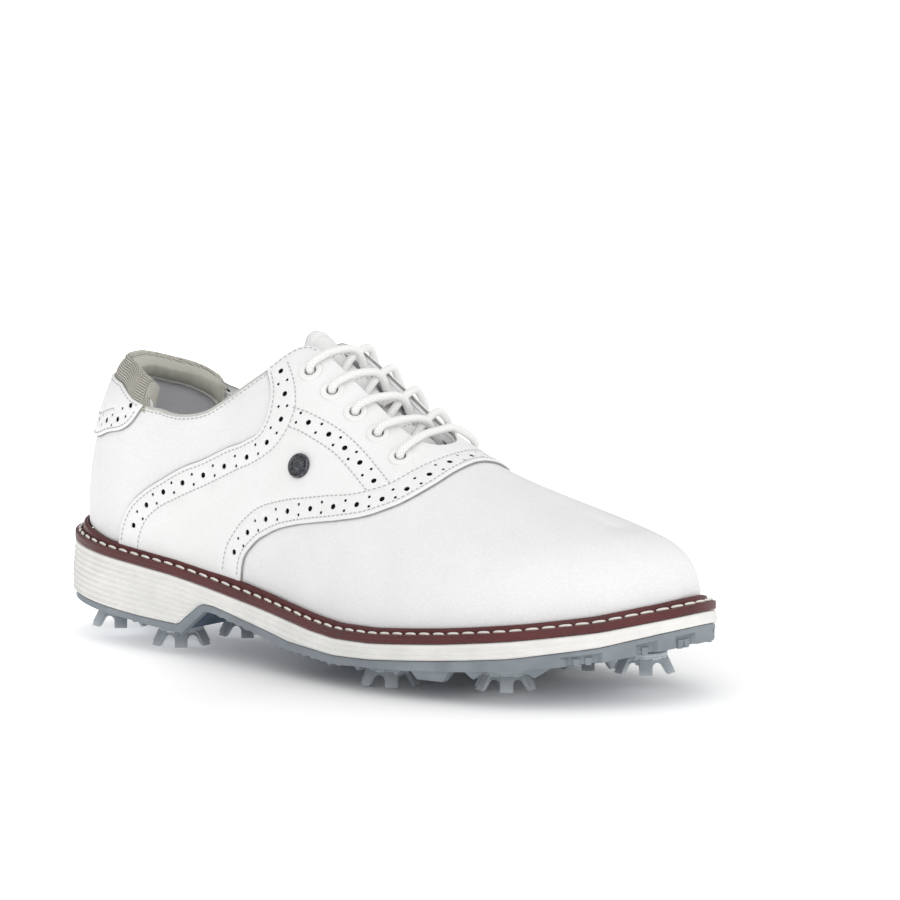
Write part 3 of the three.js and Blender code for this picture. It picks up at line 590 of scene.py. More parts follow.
def tube(path, radius, seg):
    """round tube with rotation-minimising frames; radius may vary along it"""
    path = np.asarray(path, float)
    count = len(path)
    radius = np.broadcast_to(np.asarray(radius, float), (count,))
    travel = unit(np.gradient(path, axis=0))
    side = np.cross(travel[0], [0, 0, 1.0])
    if np.linalg.norm(side) <= 1e-3:
        side = np.cross(travel[0], [0, 1.0, 0])
    sides = np.zeros((count, 3))
    sides[0] = unit(side)
    for i in range(1, count):
        sides[i] = unit(sides[i - 1] - np.dot(sides[i - 1], travel[i]) * travel[i])
    ups = np.cross(travel, sides)
    a = np.arange(seg) * TAU / seg
    verts = path[:, None] + radius[:, None, None] * (
        np.cos(a)[None, :, None] * sides[:, None] + np.sin(a)[None, :, None] * ups[:, None])
    return verts.reshape(-1, 3), loft_faces(count, seg)


def tube_uv(path, seg):
    """u once round the tube, v in mm along it"""
    shape = (len(path), seg)
    return np.stack([np.broadcast_to(np.arange(seg) * TAU / seg / TAU, shape),
                     np.broadcast_to(arc_length(path)[:, None], shape)], -1).reshape(-1, 2)


def capsules(centres, run, normal, length, radius, flatten, bow=0.0):
    """one small thread capsule at each centre"""
    run = unit(np.asarray(run, float))
    normal = unit(normal - (normal * run).sum(1)[:, None] * run)
    side = np.cross(normal, run)
    seg = 8
    profile = [(-.5, 0), (-.47, .45), (-.40, .78), (-.28, .96), (0, 1), (.28, .96), (.40, .78),
               (.47, .45), (.5, 0)]
    a = np.arange(seg) * TAU / seg
    form = np.array([(u * length, q * radius * math.cos(k),
                      q * radius * flatten * math.sin(k) + bow * (1 - 4 * u * u))
                     for u, q in profile for k in a])
    verts = centres[:, None] + form[None, :, 0:1] * run[:, None] \
        + form[None, :, 1:2] * side[:, None] + form[None, :, 2:3] * normal[:, None]
    quads = np.array(grid_faces(len(profile), seg, close_cols=True))
    faces = quads[None] + (np.arange(len(centres)) * len(form))[:, None, None]
    return verts.reshape(-1, 3), faces.reshape(-1, 4).tolist()


def even_centres(total, pitch):
    count = int(total / pitch)
    return (np.arange(count) + .5) * total / count


# ---------------------------------------------------------------- leather panels and seams
LEATHER = 1.5            # thickness of the overlays on the base surface
GROOVE_DEPTH, GROOVE_HALF = .16, .42
OVERLAY_EDGE = ((0, .5), (.12, .22), (.32, .06), (.7, 0))    # distance from the edge, drop
QUARTER_EDGE = ((0, .4), (.15, .16), (.4, .03), (.8, 0))


def panel_points(loop, holes, grooves, pitch, edge):
    """points and constraint edges of a panel in scaled map coordinates, and hole outlines"""
    points, edges, hole_loops = [], [], []

    def add_line(line, closed):
        start, count = len(points), len(line)
        points.extend((line * MAP_SCALE).tolist())
        edges.extend((start + i, start + i + 1) for i in range(count - 1))
        if closed:
            edges.append((start + count - 1, start))

    add_line(loop, True)
    for dist, _ in edge[1:]:
        add_line(offset_line(loop, dist, True), True)
    for along, over, radius in holes:
        count = 18 if radius > 1.5 else 14 if radius > .8 else 10
        hole_loops.append(circle(along, over, radius, count))
        add_line(hole_loops[-1], True)
        add_line(circle(along, over, radius + .16, count), True)
        add_line(circle(along, over, radius + .42, count), True)
    for groove in grooves:
        add_line(offset_line(groove, -GROOVE_HALF), False)
        add_line(groove, False)
        add_line(offset_line(groove, GROOVE_HALF), False)
    # staggered interior points, kept clear of all lines
    low, high = loop.min(0), loop.max(0)
    along, over = np.meshgrid(np.arange(low[0], high[0], pitch / 750),
                              np.arange(low[1], high[1], pitch / 62), indexing='ij')
    along = along.copy()
    along[:, 1::2] += pitch / 1500
    inner = np.c_[along.ravel(), over.ravel()]
    inner = inner[inside(loop, inner)]
    surface = on_map(inner[:, 0], inner[:, 1])
    keep = line_distance(surface, [loop], grooves) > pitch * .5
    keep &= hole_distance(surface, holes) > pitch * .4
    points.extend((inner[keep] * MAP_SCALE).tolist())
    return points, edges, hole_loops


def panel(name, loop, holes, top, bottom, grooves, pitch, materials, slot,
          edge=OVERLAY_EDGE, dark=None, shade_disc_depth=None):
    """leather cut along loop; holes are (along, over, radius), grooves are seam lines, top and
    bottom are offsets from the base surface; dark picks top faces for the second material, a
    near-black painted shade; the last argument is the depth of the near-black discs in the
    perforations, painted shade for the depth of the holes"""
    loop = counter_clockwise(loop)
    points, edges, hole_loops = panel_points(loop, holes, grooves, pitch, edge)
    cut = geometry.delaunay_2d_cdt([Vector(p) for p in points], edges, [], 0, 1e-4, False)
    flat = np.array([(v.x, v.y) for v in cut[0]]) / MAP_SCALE
    tris = np.array([tuple(f) for f in cut[2]])
    centre = flat[tris].mean(1)
    keep = inside(loop, centre)
    for hole in hole_loops:
        low, high = hole.min(0), hole.max(0)
        near = np.where(keep & (centre[:, 0] > low[0]) & (centre[:, 0] < high[0])
                        & (centre[:, 1] > low[1]) & (centre[:, 1] < high[1]))[0]
        if len(near):
            keep[near[inside(hole, centre[near])]] = False
    tris = tris[keep]
    used = np.unique(tris)
    renumber = -np.ones(len(flat), int)
    renumber[used] = np.arange(len(used))
    flat, tris = flat[used], renumber[tris]
    base = on_map(flat[:, 0], flat[:, 1])
    normal = map_normal(flat[:, 0], flat[:, 1])
    drop = np.interp(line_distance(base, [loop]), [e[0] for e in edge], [e[1] for e in edge])
    drop = np.maximum(drop, np.interp(hole_distance(base, holes), [-.1, .05, .16, .42],
                                      [.2, .2, .05, 0]))
    to_groove = line_distance(base, lines=grooves)
    drop = np.maximum(drop, GROOVE_DEPTH * (1 - ease(0.05, GROOVE_HALF, to_groove)))
    verts = [base + normal * (top - drop)[:, None], base + normal * bottom]
    count = len(flat)
    faces = [tuple(f) for f in tris] + [tuple(f[::-1] + count) for f in tris]
    border = {}
    for f in tris:
        for a, b in ((f[0], f[1]), (f[1], f[2]), (f[2], f[0])):
            key = (min(a, b), max(a, b))
            border[key] = None if key in border else (a, b)
    for side in border.values():
        if side is not None:
            a, b = side
            faces.append((b, a, a + count, b + count))
    face_mats = [0] * len(faces)
    # top faces picked by dark get the second material: near-black painted shade, seen through the
    # perforations above them
    if dark is not None:
        face_mats[:len(tris)] = [int(x) for x in dark(flat[tris].mean(1))]
    # near-black discs sunk into the small perforations: painted shade for the depth of the holes
    if shade_disc_depth is not None:
        start = 2 * count
        for along, over, radius in holes:
            if radius > 1.5:
                continue
            disc = circle(along, over, radius + .06, 14)
            verts.append(on_map(disc[:, 0], disc[:, 1])
                         + map_normal(disc[:, 0], disc[:, 1]) * (top - shade_disc_depth))
            faces.append(tuple(range(start, start + 14)))
            face_mats.append(1)
            start += 14
    piece(name, (np.vstack(verts), faces), materials, slot, face_mats=face_mats)


def map_stitches(line, dist):
    """thread stitches along a map line at offset dist"""
    length = arc_length(on_map(line[:, 0], line[:, 1], dist))
    where = even_centres(length[-1], 2.08)
    mid, back, ahead = (columns_at(where + d, length, line) for d in (0, -.3, .3))
    run = on_map(ahead[:, 0], ahead[:, 1], dist) - on_map(back[:, 0], back[:, 1], dist)
    return capsules(on_map(mid[:, 0], mid[:, 1], dist + .02), run,
                    map_normal(mid[:, 0], mid[:, 1]), length=1.45, radius=.27, flatten=.75)


def space_stitches(path, normals, lift):
    """thread stitches along a line in space"""
    length = arc_length(path)
    where = even_centres(length[-1], 2.3)
    run = columns_at(where + .2, length, path) - columns_at(where - .2, length, path)
    normal = columns_at(where, length, normals)
    return capsules(columns_at(where, length, path) + normal * lift, run, normal,
                    length=1.5, radius=.24, flatten=.75)


# ---------------------------------------------------------------- material helpers
def color(value):
    """linear RGBA from '#rrggbb', a grey value or a linear RGB triple"""
    if isinstance(value, str):
        channels = [int(value[i:i + 2], 16) / 255 for i in (1, 3, 5)]
        value = tuple(((c + .055) / 1.055)**2.4 if c > .04045 else c / 12.92 for c in channels)
    elif not isinstance(value, tuple):
        value = (value,) * 3
    return (*value, 1)


def set_inputs(node, **values):
    for key, value in values.items():
        node.inputs[key.replace('_', ' ')].default_value = value


class Graph:
    """a node tree and its shader node"""

    def __init__(self, tree, shader):
        self.tree = tree
        self.shader = tree.nodes[shader]

    def link(self, source, target):
        self.tree.links.new(source, target)

    def node(self, kind, **settings):
        node = self.tree.nodes.new('ShaderNode' + kind)
        for key, value in settings.items():
            setattr(node, key, value)
        return node

    def feed(self, socket, source):
        self.link(source, self.shader.inputs[socket])

    def set(self, **values):
        set_inputs(self.shader, **values)

    def coords(self, scale=(1, 1, 1)):
        mapping = self.node('Mapping')
        mapping.inputs['Scale'].default_value = scale
        self.link(self.node('TexCoord').outputs['Object'], mapping.inputs['Vector'])
        return mapping.outputs['Vector']

    def noise(self, coords, scale, detail=4, rough=.5, distortion=0, output='Fac'):
        node = self.node('TexNoise')
        set_inputs(node, Scale=scale, Detail=detail, Roughness=rough, Distortion=distortion)
        self.link(coords, node.inputs['Vector'])
        return node.outputs[output]

    def wave(self, coords, direction, scale, distortion, detail=2):
        node = self.node('TexWave', wave_type='BANDS', bands_direction=direction)
        set_inputs(node, Scale=scale, Distortion=distortion, Detail=detail)
        self.link(coords, node.inputs['Vector'])
        return node.outputs['Fac']

    def ramp(self, factor, low, high, low_at=0.0, high_at=1.0):
        node = self.node('ValToRGB')
        ends = node.color_ramp.elements
        ends[0].position, ends[1].position = low_at, high_at
        ends[0].color, ends[1].color = color(low), color(high)
        self.link(factor, node.inputs['Fac'])
        return node.outputs['Color']

    def math(self, operation, *values):
        node = self.node('Math', operation=operation)
        for i, value in enumerate(values):
            if isinstance(value, (int, float)):
                node.inputs[i].default_value = value
            else:
                self.link(value, node.inputs[i])
        return node.outputs[0]

    def mix(self, blend, factor, first, second=None):
        node = self.node('MixRGB', blend_type=blend)
        set_inputs(node, Fac=factor)
        self.link(first, node.inputs['Color1'])
        if second is not None:
            self.link(second, node.inputs['Color2'])
        return node.outputs['Color']

    def bump(self, height, strength, distance):
        node = self.node('Bump')
        set_inputs(node, Strength=strength, Distance=distance)
        self.link(height, node.inputs['Height'])
        self.feed('Normal', node.outputs['Normal'])


def material_graph(name):
    material = bpy.data.materials.new(name)
    material.use_nodes = True
    MATERIALS[name] = material
    return Graph(material.node_tree, 'Principled BSDF')


# ---------------------------------------------------------------- materials
def leather(name, light, dark, grain, roughness, bump, specular=.4, coat=.0):
    """grain is the number of pebble cells per metre"""
    g = material_graph(name)
    coords = g.coords()
    base = g.ramp(g.noise(coords, 45, 3), dark, light, .3, .72)
    cells = g.node('TexVoronoi', feature='DISTANCE_TO_EDGE')
    set_inputs(cells, Scale=grain)
    warp = g.node('VectorMath', operation='MULTIPLY_ADD')
    warp.inputs[1].default_value = (1.1 / grain,) * 3
    g.link(g.noise(coords, grain * .35, 2, output='Color'), warp.inputs[0])
    g.link(coords, warp.inputs[2])
    g.link(warp.outputs[0], cells.inputs['Vector'])
    cell = g.math('MINIMUM', g.math('MULTIPLY', cells.outputs['Distance'], 3.0), 1.0)
    fine = g.noise(coords, grain * 3.2, 4, .6)
    wrinkles = g.noise(g.coords((1.0, 1.0, .35)), 160, 3, .6, .6)
    height = g.math('ADD', g.math('MULTIPLY', cell, .55), g.math(
        'ADD', g.math('MULTIPLY', fine, .35), g.math('MULTIPLY', wrinkles, .7)))
    g.bump(height, strength=bump, distance=.00022)
    g.feed('Base Color', g.mix('MULTIPLY', .10, base, g.ramp(cell, .55, 1, 0, .6)))
    g.feed('Roughness', g.ramp(g.noise(coords, 220, 3), roughness - .07, roughness + .08,
                               .3, .7))
    g.set(Specular_IOR_Level=specular, Coat_Weight=coat, Coat_Roughness=.35)


def fabric(name, light, dark, pitch, roughness, sheen, bump, brushed=0.0, ribbed=False):
    """two crossed thread waves of the given pitch (m), with fuzz and sheen; the last argument
    darkens the colour in the knit's rib valleys with painted shade
    """
    g = material_graph(name)
    coords = g.coords()
    scale = 1 / pitch
    weave = g.math('MULTIPLY', *(g.wave(coords, direction, scale * .31, .6, 1)
                                 for direction in ('DIAGONAL', 'Z')))
    fuzz = g.noise(coords, scale * 2.2, 5, .7)
    patches = g.noise(coords, 70, 4, .6)
    height = g.math('ADD', g.math('MULTIPLY', weave, 1 - brushed),
                    g.math('MULTIPLY', fuzz, .4 + brushed))
    g.bump(height, strength=bump, distance=.00025)
    shade = g.math('ADD', g.math('MULTIPLY', height, .55), g.math('MULTIPLY', patches, .5))
    tint = g.mix('MIX', 0, g.ramp(shade, dark, light, .2, .85))
    # painted shade: the colour drops to 30 % in the valleys of the knit's ribs
    if ribbed:
        depth = g.node('Attribute', attribute_name='rib_valley_shade').outputs['Fac']
        tint = g.mix('MULTIPLY', 1.0, tint, g.ramp(depth, (.30, .30, .29), 1, .02, .62))
    g.feed('Base Color', tint)
    g.set(Roughness=roughness, Sheen_Weight=sheen, Sheen_Roughness=.45, Specular_IOR_Level=.15)


def plastic(name, light, dark, roughness, grain, bump, specular=.4):
    g = material_graph(name)
    coords = g.coords()
    g.feed('Base Color', g.ramp(g.noise(coords, grain * .25, 3), dark, light, .3, .7))
    g.feed('Roughness', g.ramp(g.noise(coords, grain, 3), roughness - .06, roughness + .1,
                               .3, .7))
    g.bump(g.noise(coords, grain * 5, 3, .6), strength=bump, distance=.0001)
    g.set(Specular_IOR_Level=specular)


def thread(name, light, dark, turns=1400):
    g = material_graph(name)
    twist = g.wave(g.coords(), 'DIAGONAL', turns, 1.0)
    g.feed('Base Color', g.ramp(twist, dark, light))
    g.bump(twist, strength=.4, distance=.0001)
    g.set(Roughness=.7, Sheen_Weight=.1)


def lace_cord(name):
    """braid of six strands drawn in the tube's UV map"""
    g = material_graph(name)
    split = g.node('SeparateXYZ')
    g.link(g.node('UVMap', uv_map='UVMap').outputs['UV'], split.inputs['Vector'])
    around = g.math('MULTIPLY', split.outputs['X'], TAU * 6)
    along = g.math('MULTIPLY', split.outputs['Y'], TAU / 1.25)
    strands = g.math('MAXIMUM', *(g.math('SINE', g.math(sign, around, along))
                                  for sign in ('ADD', 'SUBTRACT')))
    height = g.math('ADD', g.math('MULTIPLY', strands, .5), .5)
    g.feed('Base Color', g.ramp(height, '#d8d8d6', '#f2f2f0', 0, .7))
    g.bump(height, strength=.3, distance=.0001)
    g.set(Roughness=.75, Sheen_Weight=.25)


def welt_leather(name):
    g = material_graph(name)
    streaks = g.noise(g.coords((1, 1, 9)), 260, 4, .6)
    patches = g.noise(g.coords(), 60, 3)
    shade = g.math('ADD', g.math('MULTIPLY', streaks, .6), g.math('MULTIPLY', patches, .4))
    g.feed('Base Color', g.ramp(shade, '#3a1415', '#6c2b2b', .25, .8))
    g.bump(streaks, strength=.25, distance=.0002)
    g.feed('Roughness', g.ramp(streaks, .32, .55, .3, .7))
    g.set(Specular_IOR_Level=.45)


def metal(name):
    g = material_graph(name)
    coords = g.coords()
    g.feed('Base Color', g.ramp(g.noise(coords, 900, 4), '#3c3d40', '#6f7074', .3, .7))
    g.feed('Roughness', g.ramp(g.noise(coords, 1800, 3), .22, .42))
    g.bump(g.noise(coords, 4000, 2), strength=.1, distance=.00005)
    g.set(Metallic=.95)


# near-black capsules between the welt stitches: painted shade of the stitch channel
def welt_gap_shade(name):
    g = material_graph(name)
    g.feed('Base Color', g.ramp(g.noise(g.coords(), 900), (.010, .004, .005),
                                (.03, .012, .014)))
    g.set(Roughness=.8)


def rows(build, keys, *entries):
    """builds one material per entry: name, light colour, dark colour, then the keys' values"""
    for name, light, dark, *values in entries:
        build(name, light, dark, **dict(zip(keys.split(), values)))


rows(leather, 'grain roughness bump specular coat',
     ('smooth_leather', '#f3f3f3', '#efefee', 900, .42, .16, .42, .04),
     ('pebbled_leather', '#f0f0f0', '#ebebeb', 620, .50, .36, .36),
     ('tongue_leather', '#f1f1f1', '#ebebea', 800, .5, .22, .3))
rows(fabric, 'pitch roughness sheen bump brushed ribbed',
     # near-black painted shade: stands for the depth of the perforations and the shade under them
     ('perforation_underlay', '#0b0b0c', '#040404', .0006, .95, 0, .2),
     ('knit_collar', '#cfcdc3', '#b3b0a6', .0007, .92, .3, .08, 0.0, True),
     ('collar_textile', '#c6c4b9', '#a3a197', .0006, .95, .5, .35, .6),
     ('lining_textile', '#eeeef0', '#d6d6d9', .0008, .92, .25, .2, .3),
     ('binding_tape', '#d2d1cd', '#b4b3ae', .0007, .85, .3, .35),
     ('footbed_textile', '#9a9b9d', '#77787a', .0009, .95, .2, .5),
     ('keeper_webbing', '#ecebe8', '#cfcecb', .0008, .85, .2, .5))
rows(thread, 'turns',
     ('leather_thread', '#cfcfcf', '#9d9d9d'),
     ('welt_thread', '#f6f4ee', '#cfcbc2', 700),
     ('grey_thread', '#c4c2b8', '#8a887e'))
rows(plastic, 'roughness grain bump specular',
     ('leather_edge', '#dcdbd6', '#c9c7c0', .8, 900, .3, .2),
     # grey edge line: partly the overlays' edge paint, partly painted shadow along their edge
     ('leather_cut_edge', '#a3a3a1', '#8f8f8d', .8, 900, .2, .2),
     ('aglet_film', '#e6e6e4', '#d6d6d4', .3, 300, .05, .5),
     ('eyelet_moulding', '#f3f3f1', '#e9e9e7', .38, 260, .05, .45),
     # near-black bore: painted shade inside the eyelet holes
     ('eyelet_bore', '#1b1b1c', '#0c0c0d', .6, 300, .05, .3),
     ('midsole_foam', '#eeedea', '#e4e3df', .62, 420, .16, .3),
     ('outsole_rubber', '#8c9399', '#7d848a', .55, 420, .12, .35),
     ('outsole_recess', '#4d5f73', '#3b4b5e', .6, 420, .15, .35),
     ('cleat_plastic', '#d2d8db', '#bcc3c7', .42, 380, .06, .45),
     ('cleat_tip', '#c4cacd', '#adb4b8', .45, 380, .06, .45),
     ('receptacle_plastic', '#2e3236', '#212427', .5, 300, .05, .4),
     ('fibre_board', '#b59468', '#92744d', .9, 700, .4, .2),
     ('soft_foam', '#dcd7c6', '#c4bea9', .95, 900, .5, .15))
lace_cord('lace_cord')
welt_leather('welt_leather')
metal('badge_metal')
metal('shank_steel')
welt_gap_shade('welt_gap_painted_shade')

# ---------------------------------------------------------------- feature lines (along, over)
SADDLE_REAR_TOP = .1887      # along, where the saddle's rear edge leaves the topline
SADDLE_REAR = table(
    (.1985, .53), (.1991, .477), (.1972, .435), (.1859, .381), (.1711, .354), (.1559, .332),
    (.1401, .315), (.125, .281), (.1105, .231), (.1003, .166), (.0945, .092), (.0921, .034),
    (.0915, 0))
SADDLE_FRONT = table(
    (.1883, 0), (.1903, .055), (.1987, .11), (.213, .163), (.2337, .228), (.2667, .338),
    (.2913, .445), (.3063, .557), (.315, .698), (.3173, .848), (.317, 1))
# seams and rows of large perforations: 1 behind the lace rows, 2 along the saddle's front edge,
# 3 below the eyelets
SEAM_1 = table(
    (.2003, .703), (.215, .598), (.2177, .555), (.2168, .48), (.2115, .41), (.2046, .366),
    (.1961, .33), (.184, .297), (.1709, .267), (.161, .249), (.1481, .227), (.135, .199),
    (.1225, .165), (.1132, .112), (.109, .055), (.1075, 0.004))
HOLES_1 = table(
    (.1997, .645), (.208, .573), (.2103, .487), (.2033, .398), (.1893, .335), (.1723, .3),
    (.1567, .278), (.1413, .258), (.1267, .228), (.1137, .175), (.1043, .09))
SEAM_2 = table(
    (.1743, .01), (.1773, .072), (.1857, .135), (.199, .198), (.2213, .265), (.2517, .37),
    (.28, .497), (.2923, .588), (.2993, .705), (.3047, .85), (.3062, 1))
HOLES_2 = table(
    (.1843, .075), (.195, .138), (.2097, .193), (.227, .25), (.2447, .307), (.2613, .367),
    (.277, .43), (.2917, .505), (.3027, .6), (.308, .723), (.3097, .855), (.3113, 1.0))
SEAM_3_UPPER = table((.216, .545), (.2303, .578), (.2477, .615), (.2673, .623), (.281, .605),
                     (.292, .58))
SEAM_3_LOWER = table((.217, .48), (.2347, .508), (.2503, .527), (.265, .522), (.2803, .5))
HOLES_3 = table((.229, .542), (.2433, .568), (.2557, .575), (.268, .575), (.2813, .552))
TAB_HOLES = table((.0857, .652), (.076, .557), (.0627, .53), (.0487, .515), (.034, .508),
                  (.018, .505), (0, .504))
TAB_SIDE = table((.053, .42), (.067, .47), (.084, .517), (.089, .55), (.0955, .645))
LATERAL_EYELETS = [(.2183, .715), (.234, .718), (.2507, .728), (.2677, .735), (.2867, .718)]
BADGE = (.2312, .398)
LARGE_HOLE, SMALL_HOLE = 1.12, .64    # radii

# eyelets alternate lateral, medial from the top of the throat forwards
EYELETS = []
for along, over in LATERAL_EYELETS:
    spot = map_point(along, over)
    pair_along, pair_over = map_from_plan(spot[0], sum(THROAT_Y) - spot[1])
    EYELETS += [(along, over), (float(pair_along[0]), float(pair_over[0]))]
EYELET_POINTS = [map_point(*eyelet) for eyelet in EYELETS]
EYELET_NORMALS = [point_normal(*eyelet) for eyelet in EYELETS]


def top_line(medial):
    """leather edge of one side: collar line, then topline"""
    along = np.linspace(.0005, .2115, 150)
    line = np.vstack([LEATHER_TOP[:5], [(-91.5, 96.3)], TOPLINE_FRONT])
    if medial:
        line[:, 1] -= 2.2 * ease(-110, -103, line[:, 0]) * (1 - ease(-84, -72, line[:, 0]))
    level = level_on_line(line, medial_station(along) if medial else along, -.9)
    return np.c_[along, 2 - level if medial else level]


def throat_edge():
    """facing edge from the lateral corner round the front of the throat to the medial corner"""
    # from the throat's front line, and as a share of its half width
    corner = [(-6.5, -.92), (-4.5, -.83), (-2.5, -.7), (-1.1, -.53), (-.3, -.35), (0, -.12)]
    corner += [(dx, -share) for dx, share in corner[::-1]]
    points = [(x, THROAT_Y[0]) for x in np.arange(-23, 29.1, 2)]
    points += [(THROAT_FRONT + dx, THROAT_MID + share * THROAT_HALF) for dx, share in corner]
    points += [(x, THROAT_Y[1]) for x in np.arange(29, -23.1, -2)]
    return np.c_[map_from_plan(*np.array(points).T)]


def cut_top(line, corner_over):
    """topline up to the facing corner"""
    if line[0, 1] < 1:
        past = line[:, 1] >= corner_over - .012
    else:
        past = line[:, 1] <= corner_over + .012
    past &= line[:, 0] > .19
    return line[:np.argmax(past)] if past.any() else line


THROAT = throat_edge()
upper_top = np.vstack([cut_top(top_line(False), THROAT[0, 1]), THROAT,
                       cut_top(top_line(True), THROAT[-1, 1])[::-1]])
upper_top = soften(respace(upper_top, 1.1), 5)


def top_index(along, medial):
    """point of the upper's top edge nearest to along, on one side"""
    other_side = upper_top[:, 1] < 1 if medial else upper_top[:, 1] > 1
    return int(np.argmin(np.abs(upper_top[:, 0] - along) + 10 * other_side))


def nearest(line, spot):
    points = on_map(line[:, 0], line[:, 1])
    return int(np.argmin(np.linalg.norm(points - map_point(*spot), axis=1)))


# ---------------------------------------------------------------- saddle
saddle_l, saddle_m = (top_index(SADDLE_REAR_TOP, medial) for medial in (False, True))
rear_l = curve(np.vstack([upper_top[saddle_l], SADDLE_REAR]))
rear_m = curve(np.vstack([upper_top[saddle_m], mirrored(SADDLE_REAR)]))
saddle_front = curve(across_ridge(SADDLE_FRONT))
saddle_loop = np.vstack([
    rear_l[::-1], upper_top[saddle_l + 1:saddle_m], rear_m, level_line(.0915, .1883, 2.0)[1:],
    saddle_front[::-1][1:], level_line(.1883, .0915, 0.0)[1:-1]])
saddle_loop[:, 1] = np.clip(saddle_loop[:, 1], .002, 1.998)


def small_holes(large, lead=False):
    """a pair of small perforations between each two large ones; lead adds a pair before them"""
    mids = [(a + b) / 2 for a, b in zip(large[:-1], large[1:])]
    runs = [b - a for a, b in zip(large[:-1], large[1:])]
    if lead:
        mids.insert(0, large[0] - (large[1] - large[0]) / 2)
        runs.insert(0, large[1] - large[0])
    result = []
    for mid, run in zip(mids, runs):
        a, b = map_slopes(mid[0:1], mid[1:2])
        side = np.cross(point_normal(*mid), unit((a * run[0] + b * run[1])[0]))
        for sign in (-1, 1):
            moved = step_map(mid[0:1], mid[1:2], (side * 2.05 * sign)[None])
            result.append((moved[0][0], moved[1][0]))
    return np.array(result)


def holes_at(spots, radius):
    return [(along, over, radius) for along, over in spots]


large = np.vstack([HOLES_1, HOLES_3])
small = np.vstack([small_holes(HOLES_1), small_holes(HOLES_3, lead=True)])
front_row = across_ridge(HOLES_2)
saddle_holes = holes_at(np.vstack([large, mirrored(large), front_row]), LARGE_HOLE) \
    + holes_at(np.vstack([small, mirrored(small), small_holes(front_row)]), SMALL_HOLE) \
    + holes_at(EYELETS, 2.9)

seams = []
for side in (np.asarray, mirrored):
    seams += [trim(curve(side(SEAM_1)), .6, 0), curve(side(SEAM_3_UPPER)),
              curve(side(SEAM_3_LOWER))]
seams += [trim(offset_line(rear_l, 1.75), 1.6, 0), trim(offset_line(rear_m, -1.75), 1.6, 0),
          offset_line(saddle_front, 1.8), curve(across_ridge(SEAM_2))]
top_seam = offset_line(upper_top, -1.25)
facing_l, facing_m = nearest(top_seam, THROAT[0]), nearest(top_seam, THROAT[-1])
collar_l, collar_m = (top_index(.1, medial) for medial in (False, True))
quarter_seam_l = top_seam[collar_l:saddle_l]
quarter_seam_m = top_seam[saddle_m:collar_m]
saddle_seams = [line[(line[:, 1] > .012) & (line[:, 1] < 1.988)] for line in seams]
saddle_seams += [top_seam[saddle_l + 1:facing_l + 2], top_seam[facing_m - 2:saddle_m - 1]]
# second material of the overlays and base leather: the near-black painted shade seen through the
# perforations
OVERLAY = ['smooth_leather', 'perforation_underlay']
BASE_LEATHER = ['pebbled_leather', 'perforation_underlay']
panel('saddle', saddle_loop, saddle_holes, LEATHER, .03, saddle_seams, 2.6, OVERLAY,
      'smooth_leather', shade_disc_depth=.5)

# ---------------------------------------------------------------- quarters and forepart
under_saddle = offset_line(counter_clockwise(saddle_loop), 2.3, True)
under_saddle[:, 1] = np.clip(under_saddle[:, 1], .02, 1.98)


# faces of the quarters and vamp under the saddle, which take the near-black painted shade seen
# through its perforations
def shade_under_saddle(centres):
    return inside(under_saddle, centres)


throat_index = int(np.argmin(np.abs(upper_top[:, 1] - 1.0)
                             + 3 * np.abs(upper_top[:, 0] - THROAT[len(THROAT) // 2, 0])))
quarter_front = curve(SEAM_2, 1.5)
quarter_front = quarter_front[(quarter_front[:, 1] < .9) & (quarter_front[:, 1] > .02)]
heel_level = level_on_line(LEATHER_TOP, np.array([0.0]), -.9)[0]
heel_line = np.c_[np.full(46, .0007), np.linspace(heel_level, .004, 46)]
quarter_bottom = level_line(.0007, .1735, .003)[:-1]
for name, side, top_part, seam, holes in (
        ('quarter_lateral', np.asarray, upper_top[:throat_index - 1][::-1], quarter_seam_l,
         [eyelet for eyelet in EYELETS if eyelet[1] < 1]),
        ('quarter_medial', mirrored, upper_top[throat_index + 2:], quarter_seam_m,
         [eyelet for eyelet in EYELETS if eyelet[1] >= 1])):
    loop = np.vstack([side(quarter_bottom), side(quarter_front), top_part,
                      side(heel_line[1:-1])])
    panel(name, loop, holes_at(holes, 2.95), 0.0, -1.4, [seam], 3.0, BASE_LEATHER,
          'pebbled_leather', edge=QUARTER_EDGE, dark=shade_under_saddle)


def toe_grid(rear, dist, levels, stations):
    """both sides of the forepart as one grid, closed along the ridge"""
    level = np.linspace(0, 1, levels)
    start = rear(level)
    along = start[:, None] + (0.5 - start[:, None]) * np.linspace(0, 1, stations)[None]
    level = np.broadcast_to(level[:, None], along.shape)
    lateral = upper_offset(along, level, dist)
    medial = upper_offset(medial_station(along), level, dist)
    lateral[-1] = medial[-1] = (lateral[-1] + medial[-1]) / 2
    medial[:, -1] = lateral[:, -1]
    return (np.concatenate([lateral, medial[:, :-1][:, ::-1]], 1),
            np.concatenate([along, along[:, :-1][:, ::-1]], 1),
            np.concatenate([level, 2 - level[:, :-1][:, ::-1]], 1))


